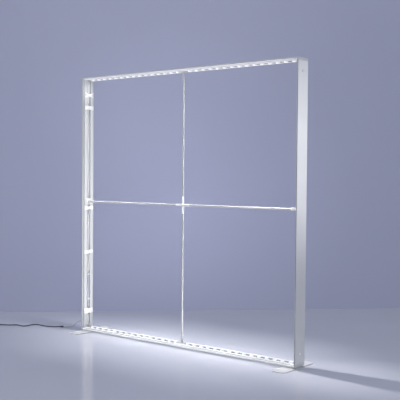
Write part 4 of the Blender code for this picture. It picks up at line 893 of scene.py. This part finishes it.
def add_lens(bm, x, base, inward):
    """Adds one lens: a foot, a body whose sides lean in, and a crowned top."""
    height = LENS_SIZE[2]
    place = Matrix.Translation((x, 0, base + inward * height / 2))
    verts = bmesh.ops.create_cube(bm, size=1.0, matrix=place @ Matrix.Diagonal((*LENS_SIZE, 1)))["verts"]
    faces = {face for vert in verts for face in vert.link_faces}
    top = [face for face in faces if all((vert.co.z - base) * inward > height * 0.8 for vert in face.verts)]
    for shrink, rise in LENS_CROWN:
        grown = bmesh.ops.extrude_face_region(bm, geom=top)["geom"]
        bmesh.ops.delete(bm, geom=top, context="FACES_ONLY")
        raised = [g for g in grown if isinstance(g, bmesh.types.BMVert)]
        top = [g for g in grown if isinstance(g, bmesh.types.BMFace)]
        centre = sum((v.co for v in raised), Vector()) / len(raised)
        bmesh.ops.scale(bm, vec=(shrink, shrink, 1), space=Matrix.Translation(-centre), verts=raised)
        bmesh.ops.translate(bm, vec=(0, 0, inward * rise), verts=raised)


def piece_from(bm, name, material, body, smooth_angle=40):
    """A new piece from a bmesh, smooth up to an angle in degrees, that rides on a CAD body."""
    bmesh.ops.remove_doubles(bm, verts=bm.verts, dist=0.000001)
    bmesh.ops.recalc_face_normals(bm, faces=bm.faces)
    mesh = mesh_from(bm, name)
    mesh.shade_smooth()
    mesh.set_sharp_from_angle(angle=math.radians(smooth_angle))
    mesh.materials.append(material)
    piece = add_object(name, mesh)
    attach(piece, body)
    return piece


# %% [markdown]
# Each half of the top and bottom members carries one strip: a dark board, fifteen lenses, and a small
# domed screw between each two of them. The three are pieces of their own, because they differ in
# finish. The lenses' last sharp edges are left to a Bevel modifier.

# %% The strips: boards, lenses and screws
BOARD_WIDTH, BOARD_THICKNESS, BOARD_EDGE = 0.024, 0.0012, 0.0003
SCREW_FOOT, SCREW_CROWN, SCREW_HEIGHT = 0.0028, 0.0018, 0.0012
LENS_EDGE = 0.0006
for level, inward in (("bottom", 1), ("top", -1)):
    radii = (SCREW_FOOT, SCREW_CROWN) if inward > 0 else (SCREW_CROWN, SCREW_FOOT)
    for half, outward in (("left", -1), ("right", 1)):
        node = f"led_lens_strip_{level}_{half}"
        low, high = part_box(node)
        base = low.z if inward > 0 else high.z
        top = base + inward * BOARD_THICKNESS
        board, lenses, screws = bmesh.new(), bmesh.new(), bmesh.new()
        middle = Matrix.Translation(((low.x + high.x) / 2, 0, (base + top) / 2))
        size = Matrix.Diagonal((high.x - low.x, BOARD_WIDTH, BOARD_THICKNESS, 1))
        bmesh.ops.create_cube(board, size=1.0, matrix=middle @ size)
        bmesh.ops.bevel(
            board, geom=board.edges[:], offset=BOARD_EDGE, segments=1,
            affect="EDGES", profile=0.5, material=-1,
        )
        for i in range(LENS_COUNT):
            x = outward * (LENS_FROM_MIDDLE + i * LENS_PITCH)
            add_lens(lenses, x, top, inward)
            if i + 1 < LENS_COUNT:
                spot = Vector((x + outward * LENS_PITCH / 2, 0, top + inward * SCREW_HEIGHT / 2))
                bmesh.ops.create_cone(
                    screws, cap_ends=True, segments=16, radius1=radii[0], radius2=radii[1],
                    depth=SCREW_HEIGHT, matrix=Matrix.Translation(spot),
                )
        row = piece_from(lenses, f"lens_row_{level}_{half}", lit_lens, "wall")
        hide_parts(node)
        soften = row.modifiers.new("moulded_edges", "BEVEL")
        soften.width = LENS_EDGE
        soften.segments = 2
        soften.limit_method = "ANGLE"
        piece_from(board, f"led_board_{level}_{half}", dark_board, "wall")
        piece_from(screws, f"board_screws_{level}_{half}", screw_steel, "wall")

# %% [markdown]
# ## Wires and cords
#
# A cord is a curve with a round bevel, which follows its route exactly and stays light. A mesh tube
# would hold many more points. The sheath is soft plastic or rubber: dull, slightly uneven, with a fine
# grain and no bright edges.

# %% Cords as curves
def sheath(name, colour, second, roughness):
    """The finish of flexible plastic or rubber, which doesn't wear bright at its edges."""
    plain = (0.0003, 0.0, colour)
    return finish(name, colour, second, roughness, mottle=(60.0, 0.6), wear=plain, grain=(400.0, 0.15, EVEN))


def cord_piece(name, line, diameter, material):
    """A round cord as a curve of one open spline."""
    curve = bpy.data.curves.new(name, "CURVE")
    curve.dimensions = "3D"
    curve.bevel_depth = diameter / 2
    curve.bevel_resolution = 4
    curve.use_fill_caps = True
    spline = curve.splines.new("POLY")
    spline.points.add(len(line) - 1)
    for spot, point in zip(spline.points, line):
        spot.co = (*point, 1)
    curve.materials.append(material)
    piece = add_object(name, curve)
    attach(piece, "wall")
    return piece


white_sheath = sheath("white_wire_sheath", (0.88, 0.88, 0.89), (0.8, 0.8, 0.82), 0.45)
grey_sheath = sheath("grey_lead_sheath", (0.42, 0.43, 0.47), (0.34, 0.35, 0.39), 0.5)
black_sheath = sheath("black_cord_sheath", (0.022, 0.022, 0.027), (0.05, 0.05, 0.056), 0.45)
mains = cord_piece("mains_flex", mains_line, CORD_DIAMETER, black_sheath)
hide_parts("mains_cord", "mains_cord_coil")
lead = cord_piece("supply_flex", lead_line, LEAD_DIAMETER, grey_sheath)
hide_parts("supply_lead")
loom = cord_piece("loom_flex", loom_line, LOOM_DIAMETER, white_sheath)
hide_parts("cable_loom")
driver_tail = cord_piece("driver_tail_flex", driver_tail_line, LOOM_DIAMETER, white_sheath)
input_flex = cord_piece("input_flex", input_line, LEAD_DIAMETER, grey_sheath)
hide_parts("driver_input_lead")

# %% [markdown]
# The sleeve over the splice is shrunk tubing: a turned profile with rounded ends, made by spinning a
# line round the wires' direction. The socket and the connector are turned the same way.

# %% Turned pieces: the splice sleeve
def spun(outline, place):
    """A bmesh from (radius, height) points spun round the z axis of a frame."""
    bm = bmesh.new()
    verts = [bm.verts.new((radius, 0, height)) for radius, height in outline]
    edges = [bm.edges.new(pair) for pair in zip(verts, verts[1:])]
    bmesh.ops.spin(
        bm, geom=verts + edges, cent=(0, 0, 0), axis=(0, 0, 1),
        angle=math.tau, steps=48, use_merge=True,
    )
    bmesh.ops.remove_doubles(bm, verts=bm.verts, dist=0.0000005)
    rims = [edge for edge in bm.edges if edge.is_boundary]
    if rims:
        bmesh.ops.holes_fill(bm, edges=rims, sides=0)
    bmesh.ops.transform(bm, matrix=place, verts=bm.verts)
    return bm


def facing(place, heading):
    """A frame at a point whose z axis points along a heading."""
    return Matrix.Translation(place) @ Vector(heading).to_track_quat("Z", "Y").to_matrix().to_4x4()


def arc(radius, height, amount, start, end, steps=4):
    """Points of a small rounded corner, between two angles in degrees."""
    angles = [math.radians(start + (end - start) * k / steps) for k in range(steps + 1)]
    return [(radius + amount * math.cos(a), height + amount * math.sin(a)) for a in angles]


SLEEVE_INWARD = 0.0095
sleeve_ends = (*arc(0.004, 0.001, 0.001, -90, 0), *arc(0.004, 0.039, 0.001, 0, 90))
sleeve_outline = [(0.0035, 0), *sleeve_ends, (0.0035, 0.04)]
sleeve_place = Matrix.Translation((LEFT_FACE + SLEEVE_INWARD, 0, FRAME_BOTTOM + SLEEVE_BOTTOM))
sleeve_mesh = spun(sleeve_outline, sleeve_place)
sleeve = piece_from(sleeve_mesh, "splice_sleeve", white_sheath, "wall", 50)
print("sleeve faces:", len(sleeve.data.polygons))

# %% [markdown]
# The light grey socket and the black connector meet on the floor, end to end. Both have a ribbed
# strain relief, and grip ribs where they meet: a wave in the radius of the outline makes the ribs.

# %% Inline socket and connector
def with_ribs(start, end, radius_start, radius_end, ribs, depth):
    """An outline whose radius dips between ribs, as on a strain relief or a grip."""
    points = []
    for k in range(ribs * 6 + 1):
        share = k / (ribs * 6)
        dip = depth * (0.5 - 0.5 * math.cos(math.tau * ribs * share))
        radius = radius_start + (radius_end - radius_start) * share
        points.append((radius - dip, start + (end - start) * share))
    return points


socket_outline = [
    (0.0, -0.0521), (0.0033, -0.0521), (0.00375, -0.0516),
    *with_ribs(-0.0505, -0.0395, 0.0039, 0.0053, 4, 0.0005),
    (0.0057, -0.0381), (0.0063, -0.0370), (0.0065, -0.0362), (0.0065, -0.0110),
    *with_ribs(-0.0105, -0.0035, 0.0065, 0.0065, 3, 0.0003),
    *arc(0.0059, -0.00075, 0.0006, 0, 90), (0.0046, -0.00015), (0.0046, -0.01215), (0.0, -0.01215),
]
connector_outline = [
    (0.0, -0.01185), (0.0043, -0.01185), (0.0043, 0.00015), *arc(0.0058, 0.00075, 0.0006, -90, 0),
    *with_ribs(0.0015, 0.0098, 0.0064, 0.0064, 4, 0.0003), (0.0064, 0.0101), (0.0059, 0.0109),
    (0.0057, 0.0181), *with_ribs(0.019, 0.0293, 0.0056, 0.0046, 4, 0.0004), (0.0043, 0.03015), (0.0, 0.03015),
]
joint_frame = facing(JOINT_PLACE, JOINT_HEADING)
socket_plastic = moulding("socket_plastic", (0.6, 0.61, 0.64), (0.54, 0.55, 0.59), 0.42, 0.12, scale=800.0)
black_moulding = finish(
    "black_moulding", (0.025, 0.025, 0.03), (0.05, 0.05, 0.056), 0.42,
    grain=(800.0, 0.15, EVEN), wear=(0.0005, 0.3, (0.12, 0.12, 0.13)),
)
socket_mesh, connector_mesh = spun(socket_outline, joint_frame), spun(connector_outline, joint_frame)
lead_socket = piece_from(socket_mesh, "lead_socket_moulding", socket_plastic, "wall")
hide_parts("lead_socket")
connector = piece_from(connector_mesh, "cord_connector_moulding", black_moulding, "wall")
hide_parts("cord_connector")
print("socket faces:", len(lead_socket.data.polygons), " connector faces:", len(connector.data.polygons))

# %% [markdown]
# The bush in the upright's web and the plug keep the shape of their solids, with rounded edges. The
# plug's pins are nickel plated: the faces past the end of its body get a second material.

# %% Bush and plug
PLUG_BODY_LENGTH = 0.062
relief_rubber = sheath("relief_rubber", (0.4, 0.41, 0.45), (0.34, 0.35, 0.39), 0.5)
rounded_copy("lead_gland", "lead_bush", relief_rubber, radius=0.0002)
plug = rounded_copy("mains_plug", "plug_moulding", black_moulding, radius=0.0005)
nickel = finish(
    "nickel_pins", (0.72, 0.70, 0.66), (0.6, 0.58, 0.54), 0.22,
    metallic=1.0, wear=(0.0003, 0.4, (0.85, 0.84, 0.8)),
)
plug.data.materials.append(nickel)
for face in plug.data.polygons:
    middle_of_face = sum((plug.data.vertices[i].co for i in face.vertices), Vector()) / len(face.vertices)
    if (middle_of_face - plug_entry).dot(coil_heading) > PLUG_BODY_LENGTH + 0.0005:
        face.material_index = 1
print("pin faces:", sum(face.material_index for face in plug.data.polygons))

# %% [markdown]
# The driver is a slim folded metal case. Its lid is a separate pressed sheet with stiffening beads
# across it, and a pale plastic cap closes each end, held by two screws. Its front is bare: nothing is
# printed on it. These are small boxes with rounded edges, because that is how such sheets are pressed.

# %% Lid, end caps and screws of the driver
END_CAP = 0.012
LID_MARGIN, BEAD_MARGIN = 0.002, 0.006
BEAD_COUNT, FIRST_BEAD, BEAD_PITCH, BEAD_HEIGHT = 9, 0.065, 0.01, 0.003


def add_block(bm, low, high, radius):
    """Adds a box between two corners, with rounded edges."""
    low, high = Vector(low), Vector(high)
    place = Matrix.Translation((low + high) / 2) @ Matrix.Diagonal((*(high - low), 1))
    made = bmesh.ops.create_cube(bm, size=1.0, matrix=place)
    edges = list({edge for vert in made["verts"] for edge in vert.link_edges})
    bmesh.ops.bevel(bm, geom=edges, offset=radius, segments=2, affect="EDGES", profile=0.5, material=-1)


case_low, case_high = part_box("led_driver")
front = case_high.x
lid = bmesh.new()
lid_low = (front - 0.0002, case_low.y + LID_MARGIN, case_low.z + END_CAP + LID_MARGIN)
lid_high = (front + 0.0006, case_high.y - LID_MARGIN, case_high.z - END_CAP - LID_MARGIN)
add_block(lid, lid_low, lid_high, 0.0003)
for k in range(BEAD_COUNT):
    level = case_low.z + FIRST_BEAD + BEAD_PITCH * k
    bead_low = (front + 0.0004, case_low.y + BEAD_MARGIN, level)
    add_block(lid, bead_low, (front + 0.0012, case_high.y - BEAD_MARGIN, level + BEAD_HEIGHT), 0.0003)
piece_from(lid, "driver_lid", driver_metal, "wall", 35)

caps = bmesh.new()
for start, end in (
    (case_low.z - 0.0002, case_low.z + END_CAP),
    (case_high.z - END_CAP, case_high.z + 0.0002),
):
    cap_low = (case_low.x - 0.0001, case_low.y - 0.0006, start)
    add_block(caps, cap_low, (front + 0.0008, case_high.y + 0.0006, end), 0.0006)
cap_plastic = moulding("driver_cap_plastic", (0.66, 0.67, 0.7), (0.6, 0.61, 0.64), 0.45, 0.2, scale=900.0)
piece_from(caps, "driver_end_caps", cap_plastic, "wall", 35)

lid_screws = bmesh.new()
for level in (case_low.z + END_CAP / 2, case_high.z - END_CAP / 2):
    for across in (case_low.y + 0.005, case_high.y - 0.005):
        head = facing((front + 0.0011, across, level), (1, 0, 0))
        bmesh.ops.create_cone(
            lid_screws, cap_ends=True, segments=20, radius1=0.002, radius2=0.0014,
            depth=0.0008, matrix=head,
        )
piece_from(lid_screws, "driver_lid_screws", screw_steel, "wall", 35)
print("driver's height, m:", round(case_high.z - case_low.z, 3))

# %% [markdown]
# A soft strap holds the coil's turns together. It is a loop with rounded corners, which goes over the
# coil's section at one place: a rounded rectangle gives the loop, an extrusion its width, and a
# solidify its thickness.

# %% Tie round the coil
TIE_INNER, TIE_OUTER, TIE_LOW, TIE_HIGH = 0.0235, 0.0596, 0.0004, 0.0163
TIE_WIDTH, TIE_THICKNESS, TIE_CORNER = 0.011, 0.0009, 0.005
TIE_ANGLE = math.radians(250)


def add_tie():
    """The strap as a piece, laid across the coil's turns."""
    bm = bmesh.new()
    across = Vector((math.cos(TIE_ANGLE), math.sin(TIE_ANGLE), 0))
    along = Vector((-across.y, across.x, 0))
    bmesh.ops.create_grid(bm, x_segments=1, y_segments=1, size=0.5)
    bmesh.ops.scale(bm, vec=(TIE_OUTER - TIE_INNER, TIE_HIGH - TIE_LOW, 1), verts=bm.verts)
    bmesh.ops.bevel(
        bm, geom=bm.verts[:], offset=TIE_CORNER, segments=6,
        affect="VERTICES", profile=0.5, material=-1,
    )
    bmesh.ops.delete(bm, geom=bm.faces[:], context="FACES_ONLY")
    strip = bmesh.ops.extrude_edge_only(bm, edges=bm.edges[:])["geom"]
    far = [g for g in strip if isinstance(g, bmesh.types.BMVert)]
    bmesh.ops.translate(bm, vec=(0, 0, TIE_WIDTH), verts=far)
    bmesh.ops.translate(bm, vec=(0, 0, -TIE_WIDTH / 2), verts=bm.verts)
    bmesh.ops.recalc_face_normals(bm, faces=bm.faces)
    bmesh.ops.solidify(bm, geom=bm.faces[:], thickness=TIE_THICKNESS)
    centre = Vector((COIL_CENTRE.x, COIL_CENTRE.y, (TIE_LOW + TIE_HIGH) / 2))
    centre += across * (TIE_INNER + TIE_OUTER) / 2
    turn = Matrix((across, UP, along)).transposed().to_4x4()
    bmesh.ops.transform(bm, matrix=Matrix.Translation(centre) @ turn, verts=bm.verts)
    return piece_from(bm, "coil_tie", black_sheath, "wall", 50)


tie = add_tie()
print("tie faces:", len(tie.data.polygons))

# %% [markdown]

# %% [markdown]
# ## Sizes
#
# Both boxes are printed: the CAD model's and the finished look's.

# %% Print the sizes
visual_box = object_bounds()
for label, (low, high) in (("CAD", cad_box), ("visual", visual_box)):
    print(label, "box, mm:", [round(1000 * (b - a), 1) for a, b in zip(low, high)])
